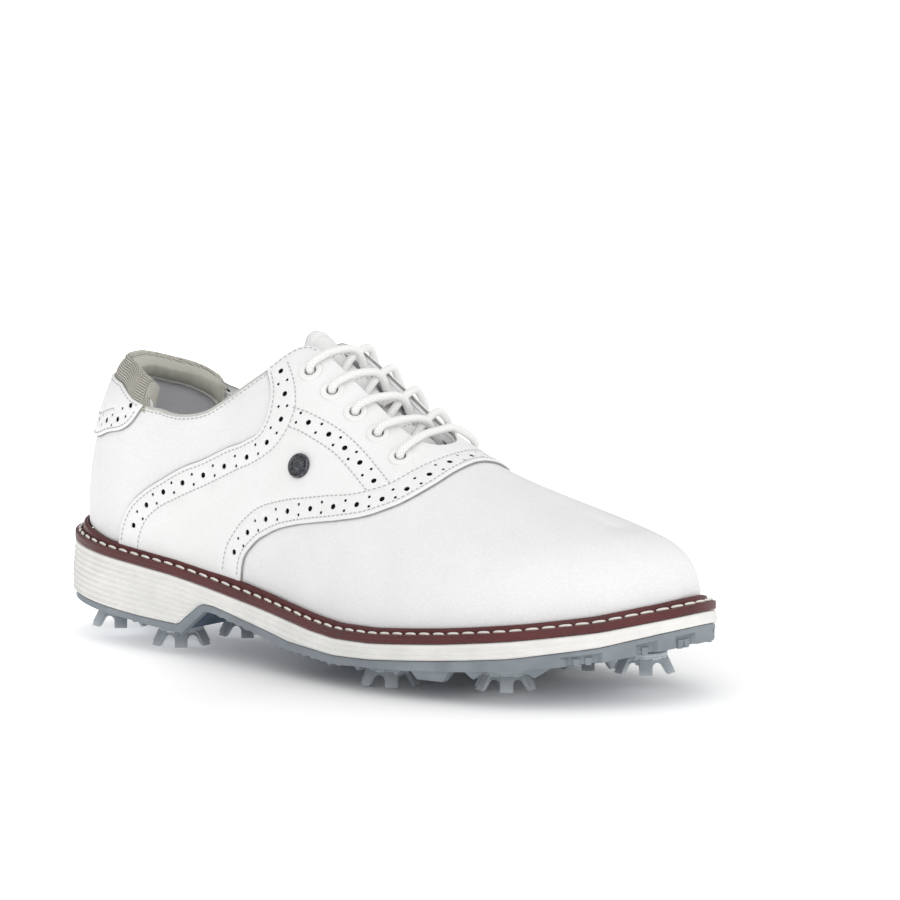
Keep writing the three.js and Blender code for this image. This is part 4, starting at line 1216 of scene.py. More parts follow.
def toe_shell(name, rear, outer, inner, materials, slot, dark=None, levels=50, stations=96):
    """forepart layer between two offsets; rear gives its rear edge for each level"""
    top, along, over = toe_grid(rear, outer, levels, stations)
    under = toe_grid(rear, inner, levels, stations)[0]
    n_rows, cols = top.shape[:2]
    count = n_rows * cols
    faces = grid_faces(n_rows, cols) + grid_faces(n_rows, cols, start=count, flip=True)
    faces += [(c + 1, c, c + count, c + 1 + count) for c in range(cols - 1)]
    for col in (0, cols - 1):
        for r in range(n_rows - 1):
            a, b = r * cols + col, (r + 1) * cols + col
            faces.append((a, b, b + count, a + count))
    face_mats = [0] * len(faces)
    # faces picked by dark get the second material: near-black painted shade, seen through the
    # perforations above
    if dark is not None:
        centres = [((grid[:-1, :-1] + grid[1:, 1:]) / 2).ravel() for grid in (along, over)]
        marks = dark(np.c_[centres[0], centres[1]])
        face_mats[:len(marks)] = [int(x) for x in marks]
    verts = np.vstack([top.reshape(-1, 3), under.reshape(-1, 3)])
    piece(name, (verts, faces), materials, slot, face_mats=face_mats)


def vamp_rear(level):
    return np.interp(level, SEAM_2[:, 1], SEAM_2[:, 0]) + .0035


toe_shell('vamp', vamp_rear, 0.0, -1.4, BASE_LEATHER, 'pebbled_leather', dark=shade_under_saddle)
toe_shell('vamp_lining', lambda level: vamp_rear(level) + .004, -2.95, -3.9,
          ['lining_textile'], 'lining_textile', levels=26, stations=50)
toe_shell('toe_puff', lambda level: .405 + .02 * level, -1.75, -2.6, ['fibre_board'],
          'insole_board', levels=18, stations=30)


# ---------------------------------------------------------------- heel
def wrap_shell(name, station, low, high, outer, inner, n_rows, material, slot, **role):
    """closed shell over stations round the heel, between two lines of levels"""
    level = low[None] + (high - low)[None] * np.linspace(0, 1, n_rows)[:, None]
    station = np.broadcast_to(station[None], level.shape)
    shape = shell_grid(upper_offset(station, level, outer), upper_offset(station, level, inner))
    piece(name, shape, [material], slot, **role)


counter = np.linspace(-.132, .132, 60)
wrap_shell('heel_counter', counter, np.full(60, .004),
           level_on_line(COUNTER_TOP, counter, 0, .01), -1.75, -2.6, 20, 'fibre_board',
           'insole_board')

# tab round the back of the heel
tab_mid = np.array([-.04, -.027, -.013, 0, .013, .027, .04])
tab_low = soften(curve(np.vstack([
    TAB_SIDE[::-1] * [-1, 1], np.c_[tab_mid, level_on_line(TAB_LOW, tab_mid)], TAB_SIDE]),
    1.2), 3)
tab_top = np.linspace(.0972, -.0972, 90)
tab_top = respace(np.c_[tab_top, level_on_line(LEATHER_TOP, tab_top, -.5)], 1.2)
tab_loop = np.vstack([tab_low, tab_top])
tab_row = np.vstack([TAB_HOLES[:-1] * [-1, 1], TAB_HOLES[::-1]])
tab_inner = trim(offset_line(tab_low, 9.4), 9, 9)
tab_seams = [trim(offset_line(tab_low, 1.3), 2, 2), tab_inner[np.abs(tab_inner[:, 0]) < .07],
             trim(offset_line(tab_top, 1.2), 2, 2)]
panel('backstay_tab', tab_loop,
      holes_at(tab_row, LARGE_HOLE) + holes_at(small_holes(tab_row), SMALL_HOLE),
      LEATHER, .03, tab_seams, 2.4, OVERLAY, 'smooth_leather', shade_disc_depth=.5)
# near-black sheet under the tab's perforations: painted shade for the depth of the holes
shade_sheet_stations = np.linspace(-.088, .088, 50)
wrap_shell('tab_shade_sheet', shade_sheet_stations, level_on_line(TAB_LOW, shade_sheet_stations, 2.2),
           level_on_line(LEATHER_TOP, shade_sheet_stations, -3.0), .10, .02, 16, 'perforation_underlay',
           'lining_textile', replaces=())

# collar crest (station from the heel, z) of each side; both end in a nearly upright edge
CREST_LATERAL = table(
    (0, 115.2), (.02, 115.2), (.04, 115.1), (.05, 114.8), (.06, 113.6), (.07, 112),
    (.08, 110.1), (.09, 108.3), (.0955, 107.2), (.0985, 105.4), (.1005, 102.4), (.1022, 98.3))
CREST_MEDIAL = table(
    (0, 115.2), (.01, 114.4), (.02, 113.5), (.03, 112.4), (.04, 111.2), (.05, 110.1),
    (.06, 108.6), (.07, 106.3), (.078, 104.0), (.0815, 102.2), (.084, 99.6), (.0857, 96.6))
END_MEDIAL, END_LATERAL = CREST_MEDIAL[-1, 0], CREST_LATERAL[-1, 0]


def crest_z(station):
    return np.where(station < 0, line_z(CREST_MEDIAL, -station), line_z(CREST_LATERAL, station))


# quarter lining: under the collar at the heel, up to the leather edge in front of it
lining = np.concatenate([-np.linspace(.296, 0, 110), np.linspace(0, .296, 110)[1:]])
reach = np.abs(lining)
lining_station = np.where(lining < 0, -(1 - medial_station(-lining)), lining)
edge_l, edge_m = upper_top[:throat_index], upper_top[throat_index + 1:][::-1]
edge_l, edge_m = edge_l[np.argsort(edge_l[:, 0])], edge_m[np.argsort(edge_m[:, 0])]
edge_level = np.where(lining >= 0, np.interp(reach, edge_l[:, 0], edge_l[:, 1]),
                      np.interp(reach, edge_m[:, 0], 2 - edge_m[:, 1]))
collar_level = level_at_z(crest_z(lining_station) - 7.7, lining_station)
collar_end = np.where(lining_station < 0, END_MEDIAL, END_LATERAL)
blend = ease(collar_end - .006, collar_end + .004, np.abs(lining_station))
wrap_shell('quarter_lining', lining_station, np.full(lining.shape, .004),
           collar_level * (1 - blend) + np.minimum(edge_level, .93) * blend,
           (-2.95 + 1.4 * ease(.17, .2, reach))[None], -3.9, 34, 'lining_textile',
           'lining_textile')


# ---------------------------------------------------------------- padded collar
def inflate(obj, pins, pressure, frames, cap):
    """inflates the unpinned part with cloth; no vertex moves more than cap (m)"""
    mesh = obj.data
    rest = np.zeros(len(mesh.vertices) * 3)
    mesh.vertices.foreach_get('co', rest)
    group = obj.vertex_groups.new(name='pin')
    group.add([int(i) for i in pins], 1.0, 'REPLACE')
    modifier = obj.modifiers.new('cloth', 'CLOTH')
    for key, value in dict(
            vertex_group_mass='pin', pin_stiffness=30, use_pressure=True,
            uniform_pressure_force=pressure, quality=6, mass=.2, tension_stiffness=18,
            compression_stiffness=18, shear_stiffness=6, bending_stiffness=1.2,
            shrink_min=0.0).items():
        setattr(modifier.settings, key, value)
    modifier.settings.effector_weights.gravity = 0
    modifier.collision_settings.use_collision = False
    modifier.point_cache.frame_start = 1
    modifier.point_cache.frame_end = frames + 2
    scene = bpy.context.scene
    for i in range(1, frames + 1):
        scene.frame_set(i)
        bpy.context.view_layer.update()
    moved = np.zeros(len(rest))
    result = obj.evaluated_get(bpy.context.evaluated_depsgraph_get())
    result.data.vertices.foreach_get('co', moved)
    obj.modifiers.remove(modifier)
    scene.frame_set(1)
    move = (moved - rest).reshape(-1, 3)
    size = np.linalg.norm(move, axis=1)
    keep = np.where(size > cap, cap / np.maximum(size, 1e-12), 1)
    keep[~np.isfinite(size)] = 0
    move = np.nan_to_num(move) * keep[:, None]
    mesh.vertices.foreach_set('co', (rest.reshape(-1, 3) + move).ravel())
    mesh.update()
    obj.vertex_groups.clear()


collar = np.concatenate([-np.linspace(END_MEDIAL, 0, 110),
                         np.linspace(0, END_LATERAL, 125)[1:]])
crest = soften(crest_z(collar), 3, 1)
seat = upper(collar, level_on_line(LEATHER_TOP, collar, -1.3))
seat_z = seat[:, 2] - np.where(collar > 0, 2.2 * ease(-110, -103, seat[:, 0]), 0)
end_z = seat_z + np.maximum(.6, (END_LATERAL - collar) * 900)
crest = np.minimum(crest, np.where(collar > .094, end_z, crest))
crest = np.maximum(crest, seat_z + .6)
full = ease(0, 6.5, crest - seat_z)            # 1 where the collar has its whole height
roll_z = np.maximum(crest - 2.5 * full, seat_z + .3)    # wall below, rolled edge above
roll_radius = 2.7 * full + .15
roll_height = (crest - roll_z)[None]
wall = np.linspace(0, 1, 62)[:, None]
roll = np.radians(np.linspace(0, 122, 34)[1:])[:, None]
wall_dist = -.45 * (1 - ease(0, .1, wall)) + (.15 + .65 * np.sin(np.pi * wall)) * full[None] \
    - .5 * (1 - full)[None]
wall_z = seat_z + (roll_z - seat_z) * wall
roll_dist = (wall_dist[-1] - roll_radius)[None]


def collar_band(z, dist):
    """grid at height z and offset dist; above roll_z the height is added straight up"""
    station = np.broadcast_to(collar, z.shape)
    low_z = np.minimum(z, roll_z[None])
    level = level_at_z(low_z.ravel(), station.ravel()).reshape(z.shape)
    points = upper_offset(station, level, dist)
    points[..., 2] += np.maximum(z - roll_z[None], 0)
    return points


def collar_cover(dist, height, radius):
    return np.concatenate([
        collar_band(wall_z, dist),
        collar_band(roll_z + height * np.sin(roll), roll_dist + radius * np.cos(roll))])


RIB_PITCH, KNIT_THICKNESS = 1.02, 1.05
base = collar_cover(wall_dist, roll_height, roll_radius)
arc = np.concatenate([np.zeros((1, base.shape[1])),
                      np.cumsum(np.linalg.norm(np.diff(base, axis=0), axis=-1), 0)])
to_end = arc[-1:] - arc
rib = .25 * np.cos(TAU * arc / RIB_PITCH) * ease(.4, 1.2, arc) * ease(0, 1.0, to_end) \
    - .35 * (1 - ease(0, .9, to_end))
wall_rows = len(wall)
knit_out = collar_cover(wall_dist + rib[:wall_rows], roll_height + rib[wall_rows:],
                        roll_radius + rib[wall_rows:])
knit_in = collar_cover(wall_dist - KNIT_THICKNESS,
                       np.maximum(roll_height - KNIT_THICKNESS, .05),
                       np.maximum(roll_radius - KNIT_THICKNESS, .05))
knit = piece('collar_cover_knit', shell_grid(knit_out, knit_in), ['knit_collar'],
             'grey_textile', replaces=('collar_cover',), sharp=70)
# per-vertex value for the knit's colour: 1 on the rib crests, 0 in the valleys, where the material
# paints shade
depth = np.ones(len(knit.data.vertices), np.float32)
rib_shade_level = (.5 + .5 * np.cos(TAU * arc / RIB_PITCH)).ravel()
depth[:len(rib_shade_level)] = rib_shade_level
knit.data.attributes.new('rib_valley_shade', 'FLOAT', 'POINT').data.foreach_set('value', depth)

# padding on the inner side, from the end of the knit down to the lining
pad_low = crest - 8.7
down = np.linspace(0, 1, 36)[:, None]
start_angle = math.radians(124)
start_dist = roll_dist[0] + (roll_radius - .3) * math.cos(start_angle)
start_z = roll_z + (crest - roll_z - .25) * math.sin(start_angle)
pad_z = start_z + (pad_low - start_z) * (.62 * down + .38 * (1 - np.cos(np.pi * down)) / 2)
puffy = (.3 + .7 * full)[None] \
    * (1 + .05 * np.sin(collar * 160) + .04 * np.sin(collar * 371 + 1))[None]
pad_dist = start_dist + (-5.0 - start_dist) * down \
    - 2.9 * puffy * np.sin(np.pi * down**.85)**.72
pad_out = collar_band(pad_z, pad_dist)
pad_in = collar_band(np.minimum(pad_z, roll_z - .4), -1.74 - .9 * (down > .98))
n_rows, cols = pad_out.shape[:2]
pad = mesh_obj('collar_cover_padding', shell_grid(pad_out, pad_in), ['collar_textile'],
               sharp=80)
pins = list(range(cols)) + list(range((n_rows - 1) * cols, n_rows * cols)) \
    + [r * cols + c for r in range(n_rows) for c in (0, 1, cols - 2, cols - 1)] \
    + list(range(n_rows * cols, 2 * n_rows * cols))
inflate(pad, pins, pressure=5.0, frames=16, cap=.0012)
place(pad, ('collar_cover', 'collar_foam'))
piece('collar_piping', tube(collar_band(pad_low[None] - .1, -5.3)[0], .8, 10),
      ['binding_tape'], 'grey_textile', replaces=(), sharp=80)
stitched = full > .6
stitch_path = knit_out[wall_rows + 24][stitched]
piece('collar_stitching',
      space_stitches(stitch_path, np.tile([0, 0, 1.0], (len(stitch_path), 1)), .05),
      ['grey_thread'], 'grey_textile', replaces=(), sharp=80)


def binding(line, side):
    """rolled tape along the leather edge; side (1 or -1) makes it stand up off the edge"""
    points = on_map(line[:, 0], line[:, 1])
    normal = map_normal(line[:, 0], line[:, 1])
    up = unit(np.cross(normal, unit(np.gradient(points, axis=0))) * side)
    taper = np.minimum(1, .35 + .65 * ease(0, 5, arc_length(points)))
    a = np.arange(16) * TAU / 16
    cos = np.sign(np.cos(a)) * np.abs(np.cos(a))**.7
    sin = np.sign(np.sin(a)) * np.abs(np.sin(a))**.7
    rise = (.05 + .72 * sin)[None] * taper[:, None]
    inward = (-1.4 + 1.75 * cos)[None]
    verts = points[:, None] + up[:, None] * rise[..., None] \
        + normal[:, None] * inward[..., None]
    return verts.reshape(-1, 3), loft_faces(len(points), 16)


for name, line, side in (
        ('topline_binding_lateral', upper_top[collar_l - 2:facing_l + 1], 1),
        ('topline_binding_medial', upper_top[facing_m - 1:collar_m + 3][::-1], -1)):
    piece(name, binding(line, side), ['binding_tape'], 'grey_textile', sharp=80)

# ---------------------------------------------------------------- edge paint with a painted shadow line, and leather seams
# grey tube round the saddle and tab: edge paint plus a painted shadow line along the overlay's edge
for name, loop in (('saddle_edge_paint_and_shadow', saddle_loop), ('tab_edge_paint_and_shadow', tab_loop)):
    ring = np.vstack([loop, loop[:1]])
    piece(name, tube(on_map(ring[:, 0], ring[:, 1], .5), .4, 8), ['leather_cut_edge'],
          'smooth_leather', replaces=(), sharp=80)
stitches = [map_stitches(line, top - GROOVE_DEPTH + .1)
            for top, lines in ((LEATHER, saddle_seams), (0.0, [quarter_seam_l, quarter_seam_m]),
                               (LEATHER, tab_seams))
            for line in lines if len(line) > 4]
piece('leather_stitching', join_parts(stitches), ['leather_thread'], 'white_thread',
      replaces=(), sharp=80)

# ---------------------------------------------------------------- tongue
TONGUE_DROP = -8.7            # below the base surface
TONGUE_Y = 3                  # centre line
TONGUE_WIDTH = table(         # x, half width
    (45, 15), (30, 18.5), (15, 20.5), (0, 22), (-10, 22.6), (-18, 22.4), (-24, 20.6),
    (-28, 17.2), (-30.6, 13.2), (-32.2, 8.2), (-33.0, 1.2))
EDGE_SEAM = 4.2               # from the tongue's edge
CROSS_SEAMS = [-21.5, -9.5, 2.5, 14.5, 26.5]


def tongue_half(x):
    return np.interp(-x, -TONGUE_WIDTH[:, 0], TONGUE_WIDTH[:, 1])


def tongue_surface(along, over, dist=TONGUE_DROP):
    station, level = station_level(along, over)
    return upper(station, level, 0.0) + upper_normal(station, level, 0.0) * dist


row_x = np.r_[np.linspace(45, -24, 72)[:-1], -24 - 9.0 * np.sin(np.linspace(0, np.pi / 2, 25))]
nx, ny = len(row_x), 46
col_y = np.sin(np.linspace(-np.pi / 2, np.pi / 2, ny)) * .55 + np.linspace(-1, 1, ny) * .45
half = tongue_half(row_x)[:, None]
grid_x = np.repeat(row_x[:, None], ny, 1)
grid_y = TONGUE_Y + half * (col_y * (1 - .2 * np.maximum(col_y, 0)))[None]
flat_x, flat_y = grid_x.ravel(), grid_y.ravel()
along, over = solve_plan(tongue_surface, flat_x, flat_y, *map_from_plan(flat_x, flat_y), 16,
                         (.01, .05), (.05, .45), (.1, 1.9))
sheet = tongue_surface(along, over)
above = tongue_surface(along, over, 0.0)
back, off_mid = -above[:, 0], np.abs(above[:, 1] - THROAT_MID)
sheet[:, 2] += np.maximum(
    6.8 * ease(6, 34, back) * (1 - ease(4, 17, off_mid)),
    6.3 * (1 - ease(3, 13, off_mid)) * (1 - ease(26, 41, above[:, 0]))) \
    + 3.9 * ease(15, 29, back) * (1 - ease(9, 19, off_mid - 5 * ease(21, 27, back)))
sheet = sheet.reshape(nx, ny, 3)
sheet[:, :, 0] = grid_x
sheet[:, :, 1] = grid_y
for _ in range(6):            # light fairing of the heights
    z = sheet[:, :, 2].copy()
    z[1:-1, 1:-1] = .5 * z[1:-1, 1:-1] + .125 * (z[2:, 1:-1] + z[:-2, 1:-1] + z[1:-1, 2:]
                                                 + z[1:-1, :-2])
    sheet[:, :, 2] = z
tongue_up = np.array([.573, 0, .819])
from_side = (1 - np.abs(col_y)[None] * np.ones((nx, 1))) * half
from_top = (row_x + 33.2)[:, None] * np.ones((1, ny))
rim = np.clip(np.minimum(from_side / 5.0, from_top / 4.2), 0, 1)
from_edge = np.minimum(from_side, from_top)
seam = np.exp(-((from_edge - EDGE_SEAM) / .7)**2)
for seam_x in CROSS_SEAMS:
    bow = grid_x - seam_x - .018 * (grid_y - TONGUE_Y)**2
    seam = np.maximum(seam, np.exp(-((bow / .75)**2)) * (from_edge > EDGE_SEAM))
round_off = 1 - np.sqrt(1 - (1 - rim)**2)
puff = (1 - seam) * (from_edge > EDGE_SEAM)
tongue_top = sheet + tongue_up * (-1.9 * round_off - .55 * seam + .35 * puff)[..., None] \
    - tongue_up * .45
tongue_mid = sheet - tongue_up * 3.0
tongue_under = sheet - tongue_up * (5.0 - 1.9 * round_off)[..., None]
tongue = mesh_obj('tongue_outer', shell_grid(tongue_top, tongue_mid), ['tongue_leather'],
                  sharp=75)
pins = [i for i in range(nx * ny) if seam.ravel()[i] > .45 or from_edge.ravel()[i] < 1.2]
inflate(tongue, pins + list(range(nx * ny, 2 * nx * ny)), pressure=4.0, frames=14, cap=.0006)
place(tongue, ('tongue_outer', 'tongue_foam'), 'tongue')
piece('tongue_lining', shell_grid(tongue_mid - tongue_up * .05, tongue_under),
      ['lining_textile'], 'lining_textile', body='tongue', sharp=75)

top_normal = np.cross(np.gradient(tongue_top, axis=0), np.gradient(tongue_top, axis=1))
top_normal /= np.linalg.norm(top_normal, axis=-1)[..., None] + 1e-9
top_normal *= np.sign(top_normal[..., 2:3] + 1e-9)


def tongue_at(x, y):
    """points and normals of the tongue's top at plan x, y"""
    row = np.interp(-x, -row_x, np.arange(nx))
    col = np.interp((y - TONGUE_Y) / tongue_half(x), col_y, np.arange(ny))
    i = np.clip(row.astype(int), 0, nx - 2)
    j = np.clip(col.astype(int), 0, ny - 2)
    a, b = (row - i)[:, None], (col - j)[:, None]
    return [grid[i, j] * (1 - a) * (1 - b) + grid[i + 1, j] * a * (1 - b)
            + grid[i, j + 1] * (1 - a) * b + grid[i + 1, j + 1] * a * b
            for grid in (tongue_top, top_normal)]


paths = []
for side in (-1, 1):
    x = np.linspace(40, -24, 90)
    paths.append((x, TONGUE_Y + side * (tongue_half(x) - EDGE_SEAM)))
for seam_x in CROSS_SEAMS:
    reach = tongue_half(seam_x) - EDGE_SEAM - 1
    y = np.linspace(TONGUE_Y - reach, TONGUE_Y + reach, 50)
    paths.append((seam_x + .018 * (y - TONGUE_Y)**2, y))
piece('tongue_stitching', join_parts([space_stitches(*tongue_at(x, y), .02) for x, y in paths]),
      ['leather_thread'], 'white_thread', replaces=(), body='tongue', sharp=80)

# keeper: low webbing bridge on the tongue, 7 mm wide and 0.7 mm thick
spots, normals = tongue_at(np.array([3.4]), np.array([2.6]))
keeper_y = np.linspace(-6, 6, 25)
keeper_z = .55 + 1.3 * np.cos(np.clip(keeper_y / 5.0, -1, 1) * np.pi / 2)**.6
sections = []
for y, z in zip(keeper_y, keeper_z):
    section = box_section(3.5, .35, .2, 2)
    sections.append(np.c_[section[:, 0], np.full(len(section), y), section[:, 1] + z])
piece('tongue_lace_keeper',
      (seated(np.vstack(sections), spots[0], normals[0]),
       loft_faces(len(sections), len(sections[0]))),
      ['keeper_webbing'], 'lace', body='tongue', sharp=50)


# ---------------------------------------------------------------- lace
def over_plan(x, y, dist):
    return on_map(*map_from_plan(x, y), dist)[0]


def crossing(start, end, high):
    """points from one eyelet across the throat to another; high passes over the other run"""
    first, second = EYELET_POINTS[start], EYELET_POINTS[end]
    side = -1 if start % 2 == 0 else 1
    near, far = THROAT_Y if side < 0 else THROAT_Y[::-1]
    stops = [(first[1] - side * 3.2, -5.9), (near + side * .5, -5.7),
             (THROAT_MID, 2.9 if high else -.2), (far + side * .8, 3.6 if high else 3.4),
             (far - side * 2.2, 4.1)]
    slope = second[0] - first[0]
    return [over_plan(first[0] + slope * (y - first[1]) / (second[1] - first[1]), y, dist)
            for y, dist in stops]


def through(index):
    """points down through an eyelet"""
    spot, normal = EYELET_POINTS[index], EYELET_NORMALS[index]
    inward = np.array([0, 1.0 if index % 2 == 0 else -1.0, 0.0])
    inward = unit(inward - inward.dot(normal) * normal)
    return [spot + normal * 4.5 + inward * 2.3, spot + normal * 3.0 + inward * .35,
            spot + normal * .2, spot - normal * 4.7]


def lace_run(current):
    """zigzag from a front eyelet to the top of the throat, and its end under the upper"""
    points = through(current)
    for k in range(3, -1, -1):
        target = 2 * k + (1 if current % 2 == 0 else 0)
        points += crossing(current, target, target % 2 == 0) + through(target)
        current = target
    along, over = EYELETS[current]
    side = 1 if current % 2 == 0 else -1
    end = [map_point(along - .0008 * i, over - side * (.012 + .042 * i),
                     -6.3 if i == 1 else -6.95) for i in (1, 2, 3, 4)]
    return points, end


def centripetal(points, per):
    """centripetal Catmull-Rom through points, per steps each"""
    points = np.array(points)
    knots = np.vstack([2 * points[0] - points[1], points, 2 * points[-1] - points[-2]])
    result = []
    for i in range(1, len(knots) - 2):
        p0, p1, p2, p3 = knots[i - 1:i + 3]
        t0 = 0
        t1 = t0 + np.linalg.norm(p1 - p0)**.5
        t2 = t1 + np.linalg.norm(p2 - p1)**.5
        t3 = t2 + np.linalg.norm(p3 - p2)**.5
        for u in np.linspace(t1, t2, per, endpoint=False):
            a1 = (t1 - u) / (t1 - t0) * p0 + (u - t0) / (t1 - t0) * p1
            a2 = (t2 - u) / (t2 - t1) * p1 + (u - t1) / (t2 - t1) * p2
            a3 = (t3 - u) / (t3 - t2) * p2 + (u - t2) / (t3 - t2) * p3
            b1 = (t2 - u) / (t2 - t0) * a1 + (u - t0) / (t2 - t0) * a2
            b2 = (t3 - u) / (t3 - t1) * a2 + (u - t1) / (t3 - t1) * a3
            result.append((t2 - u) / (t2 - t1) * b1 + (u - t1) / (t2 - t1) * b2)
    return np.array(result + [points[-1]])


(run_a, end_a), (run_b, end_b) = lace_run(8), lace_run(9)
bar = []                      # straight piece between the two front eyelets
for share in (.28, .5, .72):
    x, y = (EYELET_POINTS[8] + (EYELET_POINTS[9] - EYELET_POINTS[8]) * share)[:2]
    bar.append(over_plan(x, y, 3.3))
bar[1][2] = (bar[0][2] + bar[2][2]) / 2 + .4
lace_path = soften(centripetal(end_a[::-1] + run_a[::-1] + bar + run_b + end_b, 9), 2, 1)
piece('lace', tube(lace_path, 1.62, 16), ['lace_cord'], 'lace', sharp=80,
      uv=tube_uv(lace_path, 16))
AGLET = table(                # distance along, radius
    (0, 1.0), (.25, 1.28), (.6, 1.32), (1, 1.22), (5, 1.2), (9, 1.2), (9.5, 1.05), (9.8, .7))
for name, end in (('aglet_a', end_a), ('aglet_b', end_b)):
    path = end[3] + unit(end[3] - end[2]) * (AGLET[:, :1] + .15)
    piece(name, tube(path, AGLET[:, 1], 16), ['aglet_film'], 'lace', sharp=50)

# ---------------------------------------------------------------- eyelets and badge
eyelet_verts, eyelet_faces = lathe(rounded(
    [(2.36, -4.2, .1), (2.72, -4.2, .1), (2.72, 1.35, 0), (4.62, 1.35, .05), (4.62, 2.0, .45),
     (3.9, 2.28, .5), (3.1, 2.22, .4), (2.36, 2.1, .75)], .1, 5), 56)
radius = np.hypot(eyelet_verts[:, 0], eyelet_verts[:, 1])
# faces inside the bore, below the rim, take the near-black painted shade
bore_shade = [int(radius[face].max() < 2.5 and eyelet_verts[face, 2].max() < 1.25)
        for face in eyelet_faces]
for i, (spot, normal) in enumerate(zip(EYELET_POINTS, EYELET_NORMALS)):
    piece('eyelet_%s_%d' % (('lateral', 'medial')[i % 2], i // 2 + 1),
          (seated(eyelet_verts, spot, normal), eyelet_faces),
          ['eyelet_moulding', 'eyelet_bore'], 'eyelet_plastic', sharp=40, face_mats=bore_shade)


def badge_piece(name, shape):
    verts = seated(shape[0], map_point(*BADGE), point_normal(*BADGE))
    piece(name, (verts, shape[1]), ['badge_metal'], 'badge_metal', sharp=45)


# rim, sunk field with a ring of beads, domed centre
parts = [lathe(rounded(
    [(0, -2.5, 0), (1.1, -2.5, .1), (1.1, 1.52, 0), (4.95, 1.52, .1), (4.95, 2.7, .5),
     (4.3, 3.25, .3), (3.85, 2.6, .15), (2.5, 2.75, .1), (2.25, 3.1, .2), (1.95, 2.8, .1),
     (1.5, 3.1, .3), (0, 3.4, 0)], .1, 4, closed=False), 64, closed=False)]
bead_verts, bead_faces = lathe([(0, 3.12), (.25, 3.08), (.42, 2.92), (.48, 2.6), (0, 2.6)],
                               12, closed=False)
for k in range(12):
    angle = TAU * k / 12
    parts.append((bead_verts + [3.12 * math.cos(angle), 3.12 * math.sin(angle), 0],
                  bead_faces))
badge_piece('badge_cap', join_parts(parts))
badge_piece('badge_washer', lathe(rounded(
    [(1.5, -2.9), (2.3, -2.9), (2.3, -2.3), (1.5, -2.3)], .12, 2), 32))

# ---------------------------------------------------------------- sole lines
SOLE_STEPS = 480
sole_t = np.arange(SOLE_STEPS) / SOLE_STEPS
edge_xy, edge_out = at(OUTLINE, sole_t), unit(at(OUTWARD, sole_t))
edge_x = edge_xy[:, 0]


def smoothed_line(line, size, spread):
    """side-view line smoothed with a bell kernel, as a function of x"""
    x = np.linspace(-160, 160, 641)
    kernel = np.exp(-np.linspace(-spread, spread, size)**2)
    kernel /= kernel.sum()
    z = np.convolve(np.pad(line_z(line, x), size // 2, mode='edge'), kernel, mode='valid')
    return lambda where: np.interp(where, x, z)


welt_z = smoothed_line(WELT_LINE, 25, 3)
outsole_top_z = smoothed_line(OUTSOLE_TOP, 5, 2)
outsole_low_z = smoothed_line(OUTSOLE_BOTTOM, 5, 2)

# ---------------------------------------------------------------- welt
# section: mm outside the sole edge, mm above the welt line, corner radius
WELT_SECTION = rounded([
    (0, .35, .12), (0.05, 1.25, .1), (-.08, 1.42, .1), (0.06, 1.6, .1), (.06, 2.5, .1),
    (-.06, 2.66, .1), (0.03, 2.82, .1), (0, 3.5, .4), (-1.25, 3.7, .15), (-1.5, 3.2, .15),
    (-2.6, 3.2, .15), (-2.8, 3.7, .15), (-3.2, 3.8, .2), (-3.4, 5.1, .35), (-3.9, 5.5, .25),
    (-4.25, 5.15, .15), (-4.6, 5.65, .3), (-5.3, 5.6, .3), (-5.35, .35, .1)], .2, 3)
# the inner bead rises with the feather edge
bead_rise = np.maximum(0, at(RING['feather_z'], sole_t) - welt_z(edge_x) - 4.7)
welt_verts = np.vstack([
    np.c_[edge_xy + edge_out * out, welt_z(edge_x) + z + bead_rise * ease(-3.2, -3.7, out)]
    for out, z in WELT_SECTION])
welt_faces = grid_faces(len(WELT_SECTION), SOLE_STEPS, close_rows=True, close_cols=True)

fine = np.linspace(0, 1, 2881)
seam_length = arc_length(at(OUTLINE, fine) + at(OUTWARD, fine) * -2.05)
stitch_count = int(round(seam_length[-1] / 6.3))


def seam_station(phase):
    where = (np.arange(stitch_count) + phase) * seam_length[-1] / stitch_count
    return np.interp(where, seam_length, fine)


def on_welt(station, out, z):
    xy = at(OUTLINE, station)
    return np.c_[xy + at(OUTWARD, station) * out, welt_z(xy[:, 0]) + z]


def outward_3d(station):
    return np.c_[at(OUTWARD, station), np.zeros(stitch_count)]


station = seam_station(.5)
up = np.tile([0, 0, 1.0], (stitch_count, 1))
run = unit(on_welt(station + .0006, -2.0, 3.78) - on_welt(station - .0006, -2.0, 3.78))
piece('welt_stitching',
      capsules(on_welt(station, -2.0, 3.78), run + .13 * outward_3d(station),
               up + .35 * outward_3d(station), length=5.3, radius=.6, flatten=.8, bow=.22),
      ['welt_thread'], 'white_thread', sharp=80)
station = seam_station(1.0)   # dark capsules between the stitches: painted shade of the stitch channel
run = on_welt(station + .0006, 0, 0) - on_welt(station - .0006, 0, 0)
holes = capsules(on_welt(station, -2.0, 3.42), outward_3d(station) + .35 * run, up,
                 length=1.9, radius=.26, flatten=.5)
piece('welt', join_parts([(welt_verts, welt_faces), holes]),
      ['welt_leather', 'welt_gap_painted_shade'], 'welt_leather', sharp=50,
      face_mats=[0] * len(welt_faces) + [1] * len(holes[1]))

